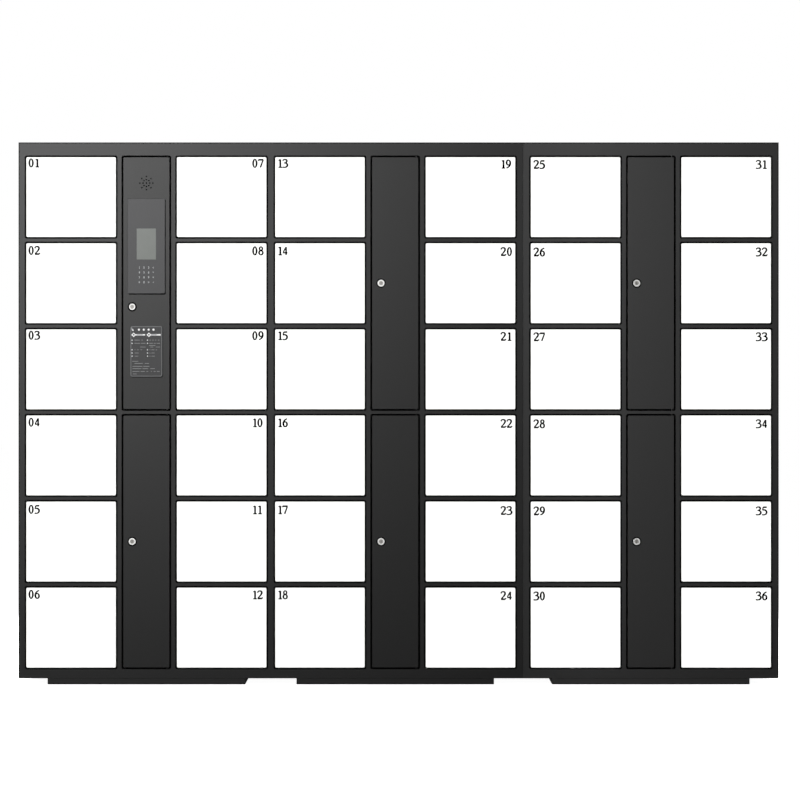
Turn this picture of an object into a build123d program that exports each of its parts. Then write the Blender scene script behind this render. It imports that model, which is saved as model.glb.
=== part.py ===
from build123d import *

import math
import os

# Electronic deposit locker, in millimetres.
# A main cabinet of two groups of twelve doors, and an extension cabinet of one group.
# +Z is up, the doors face -Y, and the origin is on the floor under the middle of the body.

# Body and plinths
BODY_DEPTH = 450.0
PLINTH_HEIGHT = 20.0
PLINTH_WIDTH = 656.0
PLINTH_SHEET = 2.0

# Front frame
FACE_SHEET = 1.5
TOP_BAND = 44.5
BOTTOM_BAND = 31.5
SIDE_STILE = 21.5
SERVICE_STILE = 15.5
MIDDLE_STILE = 20.5
RAIL_HEIGHT = 12.0
OPENING_WIDTH = 306.0
OPENING_HEIGHT = 274.0
SERVICE_WIDTH = 163.0
OPENING_RADIUS = 6.5
FACE_EDGE_ROUND = 0.6
MEMBER_SHEET = 1.2
ROWS = 6
SERVICE_ROWS = 3
MAIN_GROUPS = 2
EXTENSION_GROUPS = 1

# Carcass
PANEL_SHEET = 1.2
PARTITION_SHEET = 1.0
SHELF_SHEET = 1.0

# Doors
DOOR_GAP = 4.5
DOOR_DEPTH = 16.0
DOOR_SHEET = 1.2
DOOR_RADIUS = 4.0
DOOR_EDGE_ROUND = 0.8
DOOR_RETURN = 15.0

# Hinge pins, welded into the doors and turning in the frame
PIN_RADIUS = 2.5
PIN_INSET = 7.0
PIN_BEHIND_SHEET = 1.0
PIN_REACH = 4.5
PIN_ROOT = 6.0
PIN_SEAT_FIT = 0.02
PIN_RUNNING_FIT = 0.08
PIN_COLLAR_RADIUS = 4.5
PIN_COLLAR_GAP = 0.4

# Stop strips that the doors close on
STOP_SHEET = 1.2
STOP_LIP = 6.0
STOP_LAP = 5.0
SWING_CLEARANCE = 0.9

# Electric locks and strikers
LOCK_HEIGHT = 68.0
LOCK_DEPTH = 46.0
LOCK_WALL = 3.0
STRIKER_FROM_OPENING = 13.0
STRIKER_WIDTH = 8.0
STRIKER_THICKNESS = 2.5
STRIKER_REACH = 24.0
STRIKER_BASE_HEIGHT = 20.0
STRIKER_BASE_SHEET = 1.5
STRIKER_WINDOW_WIDTH = 4.4
STRIKER_WINDOW_LENGTH = 8.0
STRIKER_TIP = 5.0
SLOT_CLEARANCE = 1.0
SLOT_SWING_CLEARANCE = 2.8
SLOT_DEPTH_CLEARANCE = 3.0
BOLT_WINDOW_CLEARANCE = 0.4
BOLT_GUIDE_CLEARANCE = 0.3
BOLT_LENGTH = 18.0
BOLT_TRAVEL = 8.5
BOLT_SUNK = 0.5

# Cam locks on the service doors
LOCK_OFFSET = 47.0
BARREL_RADIUS = 9.5
BARREL_HEAD_RADIUS = 12.0
BARREL_HEAD_PROUD = 2.6
BARREL_HEAD_ROUND = 0.9
BARREL_FIT = 0.1
NUT_RADIUS = 14.0
NUT_THICKNESS = 4.0
PLUG_RADIUS = 7.0
PLUG_FIT = 0.06
PLUG_FACE_SUNK = 0.3
KEY_SLOT_WIDTH = 2.0
KEY_SLOT_HEIGHT = 8.5
KEY_SLOT_DEPTH = 9.0
CAM_WIDTH = 14.0
CAM_REACH = 38.0
CAM_SHEET = 2.0
CAM_CLEARANCE = 1.0
CAM_SCREW_RADIUS = 4.0
CAM_SCREW_HEAD = 2.5

# Control door, measured down from the top edge of the upper service door
CONTROL_LOCK_DROP = 497.0
SPEAKER_DROP = 86.0
SPEAKER_HOLE_RADIUS = 1.8
SPEAKER_RING_RADII = (11.4, 21.6)
SPEAKER_RING_HOLES = 8
SPEAKER_FLANGE_RADIUS = 29.0
SPEAKER_FLANGE = 1.5
SPEAKER_BODY_RADIUS = 20.0
SPEAKER_BODY_DEPTH = 12.0
FASCIA_DROP = 138.0
FASCIA_WIDTH = 124.0
FASCIA_HEIGHT = 315.0
FASCIA_PROUD = 4.0
FASCIA_RADIUS = 5.0
FASCIA_EDGE_ROUND = 0.8
DISPLAY_DROP = 99.0
DISPLAY_WIDTH = 64.0
DISPLAY_HEIGHT = 103.0
DISPLAY_BORDER = 5.0
WINDOW_THICKNESS = 1.2
WINDOW_FIT = 0.1
KEYPAD_DROP = 217.0
KEYPAD_WIDTH = 66.0
KEYPAD_HEIGHT = 72.0
PLATE_DROP = 561.0
PLATE_WIDTH = 106.0
PLATE_HEIGHT = 168.0
PLATE_RADIUS = 7.0
PLATE_THICKNESS = 1.0

# Control unit behind the fascia
BOARD_SHEET = 1.6
BOARD_MARGIN = 6.0
BOARD_SETBACK = 10.0
POST_RADIUS = 3.0
POST_INSET = 7.0
MODULE_FIT = 0.5
SENSOR_PLUG_WIDTH = 24.0
SENSOR_PLUG_HEIGHT = 10.0

# Equipment in the service columns
SUPPLY_SIZE = (110.0, 50.0, 200.0)
SUPPLY_RISE = 260.0
BATTERY_SIZE = (90.0, 150.0, 70.0)
BATTERY_FROM_BACK = 190.0
LOCK_BOARD_SIZE = (120.0, 25.0, 220.0)
LOCK_BOARD_RISE = 400.0
GROMMET_RISE = 120.0
GROMMET_BORE = 9.0
GROMMET_NECK = 15.0
GROMMET_FLANGE = 18.0
GROMMET_FLANGE_THICKNESS = 3.0
GROMMET_FIT = 0.1

# Fixings to the wall, to a further cabinet and between the two cabinets
ANCHOR_HOLE_RADIUS = 5.5
COUPLING_HOLE_RADIUS = 4.5
COUPLING_SPACING_Y = 260.0
BOLT_RADIUS = 4.0
BOLT_HEAD_RADIUS = 7.5
BOLT_HEAD = 5.0
BOLT_END = 3.0

# Worked out from the sizes above
PITCH = OPENING_HEIGHT + RAIL_HEIGHT
BODY_HEIGHT = TOP_BAND + ROWS * OPENING_HEIGHT + (ROWS - 1) * RAIL_HEIGHT + BOTTOM_BAND
GROUP_WIDTH = 2 * OPENING_WIDTH + 2 * SERVICE_STILE + SERVICE_WIDTH
MAIN_WIDTH = 2 * SIDE_STILE + MAIN_GROUPS * GROUP_WIDTH + (MAIN_GROUPS - 1) * MIDDLE_STILE
EXTENSION_WIDTH = (
    2 * SIDE_STILE + EXTENSION_GROUPS * GROUP_WIDTH + (EXTENSION_GROUPS - 1) * MIDDLE_STILE
)
TOTAL_WIDTH = MAIN_WIDTH + EXTENSION_WIDTH
BODY_BOTTOM = PLINTH_HEIGHT
BODY_TOP = BODY_BOTTOM + BODY_HEIGHT
OPENINGS_TOP = BODY_TOP - TOP_BAND
OPENINGS_BOTTOM = BODY_BOTTOM + BOTTOM_BAND
SERVICE_HEIGHT = SERVICE_ROWS * OPENING_HEIGHT + (SERVICE_ROWS - 1) * RAIL_HEIGHT
SERVICE_DOORS = ROWS // SERVICE_ROWS

# Depths are counted from the front of the frame, which is at FRONT
FRONT = -BODY_DEPTH / 2
PIN_DEPTH = max(FACE_SHEET, DOOR_SHEET) + PIN_BEHIND_SHEET + PIN_RADIUS
REAR_CORNER_SWING = PIN_DEPTH + math.hypot(PIN_INSET, DOOR_DEPTH - PIN_DEPTH)
MEMBER_BACK = max(REAR_CORNER_SWING, DOOR_DEPTH) + SWING_CLEARANCE
STOP_BACK = MEMBER_BACK + STOP_SHEET
BACK_INSIDE = BODY_DEPTH - PANEL_SHEET

# Heights in the lock case, from the middle of the striker
SLOT_HALF = STRIKER_THICKNESS / 2 + SLOT_CLEARANCE
BOLT_TOP = -SLOT_HALF - BOLT_SUNK
BOLT_WIDTH = STRIKER_WINDOW_WIDTH - 2 * BOLT_WINDOW_CLEARANCE
BOLT_DEEP = STRIKER_WINDOW_LENGTH - 2 * BOLT_WINDOW_CLEARANCE
STRIKER_END = DOOR_DEPTH + STRIKER_REACH
BOLT_FRONT = STRIKER_END - STRIKER_TIP - STRIKER_WINDOW_LENGTH + BOLT_WINDOW_CLEARANCE

BARREL_END = STOP_BACK + CAM_CLEARANCE - PLUG_FIT
CAM_FRONT = STOP_BACK + CAM_CLEARANCE
CAM_BACK = CAM_FRONT + CAM_SHEET

COUPLING_HEIGHT = (ROWS - 1) * PITCH


def block(x, depth, z):
    """A box between pairs of limits: x, depth behind the front, and height."""
    size = Box(
        x[1] - x[0],
        depth[1] - depth[0],
        z[1] - z[0],
        align=(Align.MIN, Align.MIN, Align.MIN),
    )
    return Pos(x[0], FRONT + depth[0], z[0]) * size


def rounded_block(x, depth, z, radius):
    """A box whose four edges that run front to back are rounded."""
    plain = block(x, depth, z)
    return fillet(plain.edges().filter_by(Axis.Y), radius)


def round_front(solid, radius):
    """Round the outer edges of a solid's foremost face."""
    front_face = solid.faces().sort_by(Axis.Y)[0]
    return fillet(front_face.outer_wire().edges(), radius)


def rod(x, depth, z, radius, direction, length):
    """A round bar from a point, along a row axis."""
    turns = {"x": (0, 90, 0), "y": (-90, 0, 0), "z": (0, 0, 0)}
    bar = Cylinder(radius, length, align=(Align.CENTER, Align.CENTER, Align.MIN))
    return Pos(x, FRONT + depth, z) * Rot(*turns[direction]) * bar


def save(node, solids):
    """Write one node as a group of separate solids."""
    group = Compound(children=[solid for piece in solids for solid in piece.solids()])
    export_step(group, f"parts/{node}.step")


class Opening:
    """One door opening in the front frame, and the door that closes it."""

    def __init__(self, x, top, height, hinge, wall):
        self.x = x
        self.z = (top - height, top)
        self.hinge = hinge
        self.wall = wall
        self.door_x = (x[0] + DOOR_GAP, x[1] - DOOR_GAP)
        self.door_z = (self.z[0] + DOOR_GAP, top - DOOR_GAP)
        self.middle = (sum(self.x) / 2, sum(self.z) / 2)
        left_pin = self.door_x[0] + PIN_INSET
        right_pin = self.door_x[1] - PIN_INSET
        self.pin_x = left_pin if hinge == "left" else right_pin

    def from_free_edge(self, near, far):
        """X limits counted from the opening's free edge towards the hinge."""
        if self.hinge == "left":
            return (self.x[1] - far, self.x[1] - near)
        return (self.x[0] + near, self.x[0] + far)


class Column:
    """One column of openings between two stiles."""

    def __init__(self, x, walls, kind):
        self.x = x
        self.walls = walls
        self.kind = kind
        self.openings = []
        if kind == "service":
            count, height, hinge = SERVICE_DOORS, SERVICE_HEIGHT, "right"
        else:
            count, height, hinge = ROWS, OPENING_HEIGHT, kind
        for row in range(count):
            top = OPENINGS_TOP - row * (height + RAIL_HEIGHT)
            wall = walls[1] if hinge == "left" else walls[0]
            self.openings.append(Opening(x, top, height, hinge, wall))

    def rails(self):
        """Height limits of the rails between this column's openings."""
        return [(low.z[1], high.z[0]) for high, low in zip(self.openings, self.openings[1:])]


class Cabinet:
    """A carcass with one or more groups of left, service and right columns."""

    def __init__(self, left, groups):
        self.groups = groups
        inner = groups * GROUP_WIDTH + (groups - 1) * MIDDLE_STILE
        self.x = (left, left + 2 * SIDE_STILE + inner)
        self.columns = []
        self.stiles = []
        self.partitions = []
        self.middles = []
        self.group_x = []
        half = PARTITION_SHEET / 2
        start = left + SIDE_STILE
        outer_wall = left + PANEL_SHEET
        self.stiles.append((left + PANEL_SHEET, start))
        for group in range(groups):
            left_column = (start, start + OPENING_WIDTH)
            service = (left_column[1] + SERVICE_STILE, left_column[1] + SERVICE_STILE + SERVICE_WIDTH)
            right_column = (service[1] + SERVICE_STILE, service[1] + SERVICE_STILE + OPENING_WIDTH)
            self.stiles.append((left_column[1], service[0]))
            self.stiles.append((service[1], right_column[0]))
            near = (left_column[1] + service[0]) / 2
            far = (service[1] + right_column[0]) / 2
            self.partitions += [near, far]
            if group < groups - 1:
                next_start = right_column[1] + MIDDLE_STILE
                self.stiles.append((right_column[1], next_start))
                middle = (right_column[1] + next_start) / 2
                self.partitions.append(middle)
                far_wall = middle - half
            else:
                next_start = None
                self.stiles.append((right_column[1], self.x[1] - PANEL_SHEET))
                far_wall = self.x[1] - PANEL_SHEET
            self.columns.append(Column(left_column, (outer_wall, near - half), "left"))
            self.columns.append(Column(service, (near + half, far - half), "service"))
            self.columns.append(Column(right_column, (far + half, far_wall), "right"))
            self.group_x.append((start, right_column[1]))
            if next_start is not None:
                outer_wall = middle + half
                self.middles.append(middle)
                start = next_start


def face_frame(cabinet):
    """The front sheet of a cabinet, with rounded openings."""
    sheet = block(cabinet.x, (0, FACE_SHEET), (BODY_BOTTOM, BODY_TOP))
    cuts = []
    for column in cabinet.columns:
        for opening in column.openings:
            cuts.append(rounded_block(opening.x, (-1, FACE_SHEET + 1), opening.z, OPENING_RADIUS))
    sheet = sheet - cuts
    front_face = sheet.faces().sort_by(Axis.Y)[0]
    return fillet(front_face.edges(), FACE_EDGE_ROUND)


def stile(x):
    """An upright channel behind the front sheet, open to the front."""
    height = (BODY_BOTTOM + PANEL_SHEET, BODY_TOP - PANEL_SHEET)
    outer = block(x, (FACE_SHEET, MEMBER_BACK), height)
    inside = (x[0] + MEMBER_SHEET, x[1] - MEMBER_SHEET)
    return outer - block(inside, (0, MEMBER_BACK - MEMBER_SHEET), (0, 2 * BODY_TOP))


def rail(x, z, pins):
    """A level channel between two stiles, with its hinge pin holes."""
    outer = block(x, (FACE_SHEET, MEMBER_BACK), z)
    inside = (z[0] + MEMBER_SHEET, z[1] - MEMBER_SHEET)
    channel = outer - block(
        (x[0] - 1, x[1] + 1), (0, MEMBER_BACK - MEMBER_SHEET), inside
    )
    for pin_x, from_z, height in pins:
        channel -= rod(pin_x, PIN_DEPTH, from_z, PIN_RADIUS + PIN_RUNNING_FIT, "z", height)
    return channel


def column_members(column):
    """The two bands and the rails of one column."""
    pin_x = column.openings[0].pin_x
    deep = MEMBER_SHEET + 2
    top = (OPENINGS_TOP, BODY_TOP - PANEL_SHEET)
    bottom = (BODY_BOTTOM + PANEL_SHEET, OPENINGS_BOTTOM)
    members = [
        rail(column.x, top, [(pin_x, top[0] - 1, deep)]),
        rail(column.x, bottom, [(pin_x, bottom[1] - MEMBER_SHEET - 1, deep)]),
    ]
    for z in column.rails():
        members.append(rail(column.x, z, [(pin_x, z[0] - 1, RAIL_HEIGHT + 2)]))
    return members


def stop_strips(column):
    """Upright strips at both sides of a column, and a level strip above each opening."""
    depth = (MEMBER_BACK, STOP_BACK)
    height = (OPENINGS_BOTTOM - STOP_LAP, OPENINGS_TOP + STOP_LAP)
    strips = [
        block((column.x[0] - STOP_LAP, column.x[0] + STOP_LIP), depth, height),
        block((column.x[1] - STOP_LIP, column.x[1] + STOP_LAP), depth, height),
    ]
    across = (column.x[0] + STOP_LIP, column.x[1] - STOP_LIP)
    for row, opening in enumerate(column.openings):
        lap = STOP_LAP if row == 0 else RAIL_HEIGHT
        strips.append(block(across, depth, (opening.z[1] - STOP_LIP, opening.z[1] + lap)))
    return strips


def frame_members(cabinet):
    """Every stile, rail, band and stop strip of a cabinet."""
    members = [stile(x) for x in cabinet.stiles]
    for column in cabinet.columns:
        members += column_members(column)
        members += stop_strips(column)
    return members


def coupling_points():
    """Depth and height of the four holes in each side panel."""
    middle = BODY_DEPTH / 2
    low = (OPENINGS_BOTTOM + OPENINGS_TOP - COUPLING_HEIGHT) / 2
    depths = (middle - COUPLING_SPACING_Y / 2, middle + COUPLING_SPACING_Y / 2)
    return [(depth, z) for depth in depths for z in (low, low + COUPLING_HEIGHT)]


def side_panel(x):
    """A side sheet with its four coupling holes."""
    panel = block(x, (FACE_SHEET, BODY_DEPTH), (BODY_BOTTOM, BODY_TOP))
    for depth, z in coupling_points():
        panel -= rod(x[0] - 1, depth, z, COUPLING_HOLE_RADIUS, "x", PANEL_SHEET + 2)
    return panel


def back_panels(cabinet):
    """One back sheet for each group, drilled for the wall anchors and the mains inlet."""
    inside = (cabinet.x[0] + PANEL_SHEET, cabinet.x[1] - PANEL_SHEET)
    joints = [inside[0], *cabinet.middles, inside[1]]
    height = (BODY_BOTTOM + PANEL_SHEET, BODY_TOP - PANEL_SHEET)
    first, last = cabinet.columns[0], cabinet.columns[-1]
    panels = []
    for x in zip(joints, joints[1:]):
        panel = block(x, (BACK_INSIDE, BODY_DEPTH), height)
        for column in (first, last):
            for opening in (column.openings[0], column.openings[-1]):
                centre_x, centre_z = opening.middle
                if x[0] < centre_x < x[1]:
                    panel -= rod(
                        centre_x, BACK_INSIDE - 1, centre_z, ANCHOR_HOLE_RADIUS, "y", PANEL_SHEET + 2
                    )
        panels.append(panel)
    return panels


def carcass(cabinet):
    """Sides, top, bottom and backs of a cabinet."""
    left = (cabinet.x[0], cabinet.x[0] + PANEL_SHEET)
    right = (cabinet.x[1] - PANEL_SHEET, cabinet.x[1])
    inside = (left[1], right[0])
    depth = (FACE_SHEET, BODY_DEPTH)
    return [
        side_panel(left),
        side_panel(right),
        block(inside, depth, (BODY_TOP - PANEL_SHEET, BODY_TOP)),
        block(inside, depth, (BODY_BOTTOM, BODY_BOTTOM + PANEL_SHEET)),
        *back_panels(cabinet),
    ]


def grommet_place(column):
    """X and height of the mains inlet in the back of a service column."""
    return (sum(column.x) / 2, BODY_BOTTOM + GROMMET_RISE)


def grommet(column):
    """A grooved rubber ring in the back sheet."""
    x, z = grommet_place(column)
    front = BACK_INSIDE - GROMMET_FLANGE_THICKNESS
    ring = rod(x, front, z, GROMMET_FLANGE, "y", GROMMET_FLANGE_THICKNESS)
    ring += rod(x, front, z, GROMMET_NECK, "y", PANEL_SHEET + 2 * GROMMET_FLANGE_THICKNESS)
    ring += rod(x, BODY_DEPTH, z, GROMMET_FLANGE, "y", GROMMET_FLANGE_THICKNESS)
    length = PANEL_SHEET + 2 * GROMMET_FLANGE_THICKNESS + 2
    return ring - rod(x, front - 1, z, GROMMET_BORE, "y", length)


def inner_walls(cabinet):
    """Partitions between the columns and a shelf under every compartment."""
    half = PARTITION_SHEET / 2
    height = (BODY_BOTTOM + PANEL_SHEET, BODY_TOP - PANEL_SHEET)
    walls = []
    for x in cabinet.partitions:
        walls.append(block((x - half, x + half), (MEMBER_BACK, BACK_INSIDE), height))
    for column in cabinet.columns:
        openings = column.openings[:-1] if column.kind == "service" else column.openings
        for opening in openings:
            z = (opening.z[0] - SHELF_SHEET, opening.z[0])
            walls.append(block(column.walls, (STOP_BACK, BACK_INSIDE), z))
    return walls


def plinth(group_x):
    """A folded tray under one group, closed below and on all sides."""
    middle = sum(group_x) / 2
    x = (middle - PLINTH_WIDTH / 2, middle + PLINTH_WIDTH / 2)
    outer = block(x, (0, BODY_DEPTH), (0, PLINTH_HEIGHT))
    inside_x = (x[0] + PLINTH_SHEET, x[1] - PLINTH_SHEET)
    inside_depth = (PLINTH_SHEET, BODY_DEPTH - PLINTH_SHEET)
    return outer - block(inside_x, inside_depth, (PLINTH_SHEET, PLINTH_HEIGHT + 1))


def door_pan(opening, cuts=()):
    """A folded door pan, open behind inside its return flanges."""
    x, z = opening.door_x, opening.door_z
    pan = round_front(rounded_block(x, (0, DOOR_DEPTH), z, DOOR_RADIUS), DOOR_EDGE_ROUND)
    inner_x = (x[0] + DOOR_SHEET, x[1] - DOOR_SHEET)
    inner_z = (z[0] + DOOR_SHEET, z[1] - DOOR_SHEET)
    inner_radius = max(DOOR_RADIUS - DOOR_SHEET, DOOR_SHEET)
    inner_depth = (DOOR_SHEET, DOOR_DEPTH - DOOR_SHEET)
    pan -= rounded_block(inner_x, inner_depth, inner_z, inner_radius)
    mouth_x = (x[0] + DOOR_RETURN, x[1] - DOOR_RETURN)
    mouth_z = (z[0] + DOOR_RETURN, z[1] - DOOR_RETURN)
    pan -= block(mouth_x, (DOOR_SHEET, DOOR_DEPTH + 1), mouth_z)
    for end in (z[0] - 1, z[1] - DOOR_SHEET - 1):
        pan -= rod(opening.pin_x, PIN_DEPTH, end, PIN_RADIUS + PIN_SEAT_FIT, "z", DOOR_SHEET + 2)
    for cut in cuts:
        pan -= cut
    return pan


def hinge_pins(opening):
    """The upper pin, and the lower pin with the collar that carries the door."""
    low, high = opening.door_z
    length = PIN_ROOT + DOOR_GAP + PIN_REACH
    upper = rod(opening.pin_x, PIN_DEPTH, high - PIN_ROOT, PIN_RADIUS, "z", length)
    lower = rod(opening.pin_x, PIN_DEPTH, low - DOOR_GAP - PIN_REACH, PIN_RADIUS, "z", length)
    collar_height = DOOR_GAP - PIN_COLLAR_GAP
    lower += rod(
        opening.pin_x, PIN_DEPTH, low - collar_height, PIN_COLLAR_RADIUS, "z", collar_height
    )
    return [upper, lower]


def striker(opening):
    """A level tongue on a base plate behind the door's free edge, with a window for the bolt."""
    z = opening.middle[1]
    tongue_x = opening.from_free_edge(
        STRIKER_FROM_OPENING - STRIKER_WIDTH / 2, STRIKER_FROM_OPENING + STRIKER_WIDTH / 2
    )
    window_x = opening.from_free_edge(
        STRIKER_FROM_OPENING - STRIKER_WINDOW_WIDTH / 2,
        STRIKER_FROM_OPENING + STRIKER_WINDOW_WIDTH / 2,
    )
    thick = (z - STRIKER_THICKNESS / 2, z + STRIKER_THICKNESS / 2)
    base_z = (z - STRIKER_BASE_HEIGHT / 2, z + STRIKER_BASE_HEIGHT / 2)
    window_back = STRIKER_END - STRIKER_TIP
    plate = block(tongue_x, (DOOR_DEPTH, DOOR_DEPTH + STRIKER_BASE_SHEET), base_z)
    plate += block(tongue_x, (DOOR_DEPTH, STRIKER_END), thick)
    return plate - block(
        window_x,
        (window_back - STRIKER_WINDOW_LENGTH, window_back),
        (thick[0] - 1, thick[1] + 1),
    )


def lock_case(opening):
    """An electric lock on the partition, slotted for the striker and bored for the bolt."""
    z = opening.middle[1]
    slot_x = opening.from_free_edge(
        STRIKER_FROM_OPENING - STRIKER_WIDTH / 2 - SLOT_SWING_CLEARANCE,
        STRIKER_FROM_OPENING + STRIKER_WIDTH / 2 + SLOT_CLEARANCE,
    )
    wall = opening.wall
    if opening.hinge == "left":
        case_x = (slot_x[0] - LOCK_WALL, wall)
    else:
        case_x = (wall, slot_x[1] + LOCK_WALL)
    case_z = (z - LOCK_HEIGHT / 2, z + LOCK_HEIGHT / 2)
    case = block(case_x, (STOP_BACK, STOP_BACK + LOCK_DEPTH), case_z)
    slot_depth = (STOP_BACK - 1, STRIKER_END + SLOT_DEPTH_CLEARANCE)
    case -= block(slot_x, slot_depth, (z - SLOT_HALF, z + SLOT_HALF))
    guide_x, guide_depth, bolt_z = bolt_limits(opening, BOLT_GUIDE_CLEARANCE)
    guide_z = (bolt_z[0] - BOLT_GUIDE_CLEARANCE, bolt_z[1] + BOLT_TRAVEL + BOLT_SUNK)
    return case - block(guide_x, guide_depth, guide_z)


def bolt_limits(opening, margin):
    """X, depth and height limits of a lock bolt, widened in x and depth by a margin."""
    z = opening.middle[1]
    half = BOLT_WIDTH / 2 + margin
    x = opening.from_free_edge(STRIKER_FROM_OPENING - half, STRIKER_FROM_OPENING + half)
    depth = (BOLT_FRONT - margin, BOLT_FRONT + BOLT_DEEP + margin)
    return x, depth, (z + BOLT_TOP - BOLT_LENGTH, z + BOLT_TOP)


def lock_bolt(opening):
    """The sliding bolt of an electric lock, drawn back under the striker."""
    return block(*bolt_limits(opening, 0))


def cam_lock_place(opening, control):
    """X and height of a cam lock's axis: half way up the door, or below the control fascia."""
    z = opening.door_z[1] - CONTROL_LOCK_DROP if opening is control else opening.middle[1]
    return (opening.middle[0] - LOCK_OFFSET, z)


def lock_barrel(x, z):
    """The fixed barrel with its head, and the nut behind the door sheet."""
    barrel = rod(x, -BARREL_HEAD_PROUD, z, BARREL_HEAD_RADIUS, "y", BARREL_HEAD_PROUD)
    barrel = round_front(barrel, BARREL_HEAD_ROUND)
    barrel += rod(x, -BARREL_HEAD_PROUD / 2, z, BARREL_RADIUS, "y", BARREL_END + BARREL_HEAD_PROUD / 2)
    barrel -= rod(
        x, -BARREL_HEAD_PROUD - 1, z, PLUG_RADIUS + PLUG_FIT, "y", BARREL_END + BARREL_HEAD_PROUD + 2
    )
    hexagon = extrude(RegularPolygon(NUT_RADIUS, 6), NUT_THICKNESS)
    nut = Pos(x, FRONT + DOOR_SHEET, z) * Rot(-90, 0, 0) * hexagon
    nut -= rod(x, 0, z, BARREL_RADIUS + BARREL_FIT, "y", DOOR_SHEET + NUT_THICKNESS + 1)
    return [barrel, nut]


def lock_plug(x, z):
    """The turning plug with its key slot, the cam hanging down, and the cam's screw."""
    face = PLUG_FACE_SUNK - BARREL_HEAD_PROUD
    plug = rod(x, face, z, PLUG_RADIUS, "y", CAM_FRONT - face)
    slot_x = (x - KEY_SLOT_WIDTH / 2, x + KEY_SLOT_WIDTH / 2)
    slot_z = (z - KEY_SLOT_HEIGHT / 2, z + KEY_SLOT_HEIGHT / 2)
    plug -= block(slot_x, (face - 1, face + KEY_SLOT_DEPTH), slot_z)
    cam = block(
        (x - CAM_WIDTH / 2, x + CAM_WIDTH / 2), (CAM_FRONT, CAM_BACK), (z - CAM_REACH, z + CAM_WIDTH / 2)
    )
    screw = rod(x, CAM_BACK, z, CAM_SCREW_RADIUS, "y", CAM_SCREW_HEAD)
    return [plug, cam, screw]


def centred(middle, half, low, high):
    """A pair of x limits about a middle, and the height limits as given."""
    return (middle - half, middle + half), (low, high)


def fascia_limits(opening):
    """X and height limits of the control fascia."""
    top = opening.door_z[1] - FASCIA_DROP
    return centred(opening.middle[0], FASCIA_WIDTH / 2, top - FASCIA_HEIGHT, top)


def display_limits(opening, inset=0.0):
    """X and height limits of the display, drawn in by an inset."""
    top = opening.door_z[1] - FASCIA_DROP - DISPLAY_DROP
    half = DISPLAY_WIDTH / 2 - inset
    return centred(opening.middle[0], half, top - DISPLAY_HEIGHT + inset, top - inset)


def keypad_limits(opening, inset=0.0):
    """X and height limits of the touch keypad, drawn in by an inset."""
    top = opening.door_z[1] - FASCIA_DROP - KEYPAD_DROP
    half = KEYPAD_WIDTH / 2 - inset
    return centred(opening.middle[0], half, top - KEYPAD_HEIGHT + inset, top - inset)


def speaker_place(opening):
    """X and height of the speaker's axis."""
    return (opening.middle[0], opening.door_z[1] - SPEAKER_DROP)


def speaker_holes(opening):
    """One hole in the middle and a ring of holes at each radius."""
    x, z = speaker_place(opening)
    points = [(x, z)]
    for radius in SPEAKER_RING_RADII:
        for step in range(SPEAKER_RING_HOLES):
            turn = 2 * math.pi * step / SPEAKER_RING_HOLES
            points.append((x + radius * math.cos(turn), z + radius * math.sin(turn)))
    return [rod(px, -1, pz, SPEAKER_HOLE_RADIUS, "y", DOOR_SHEET + 2) for px, pz in points]


def control_door_cuts(opening):
    """Openings in the control door's sheet behind the display and the keypad."""
    cuts = []
    for x, z in (display_limits(opening, DISPLAY_BORDER), keypad_limits(opening)):
        cuts.append(block(x, (-1, DOOR_SHEET + 1), z))
    return cuts + speaker_holes(opening)


def control_fascia(opening):
    """The raised front panel, with a pocket for the display window."""
    x, z = fascia_limits(opening)
    panel = rounded_block(x, (-FASCIA_PROUD, 0), z, FASCIA_RADIUS)
    panel = round_front(panel, FASCIA_EDGE_ROUND)
    pocket_x, pocket_z = display_limits(opening)
    panel -= block(pocket_x, (-FASCIA_PROUD - 1, WINDOW_THICKNESS - FASCIA_PROUD), pocket_z)
    view_x, view_z = display_limits(opening, DISPLAY_BORDER)
    return panel - block(view_x, (-FASCIA_PROUD - 1, 1), view_z)


def display_window(opening):
    """The clear pane in the fascia's pocket."""
    x, z = display_limits(opening, WINDOW_FIT)
    return block(x, (-FASCIA_PROUD, WINDOW_THICKNESS - FASCIA_PROUD), z)


def instruction_plate(opening):
    """A thin printed plate below the control lock."""
    top = opening.door_z[1] - PLATE_DROP
    x, z = centred(opening.middle[0], PLATE_WIDTH / 2, top - PLATE_HEIGHT, top)
    return rounded_block(x, (-PLATE_THICKNESS, 0), z, PLATE_RADIUS)


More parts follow.
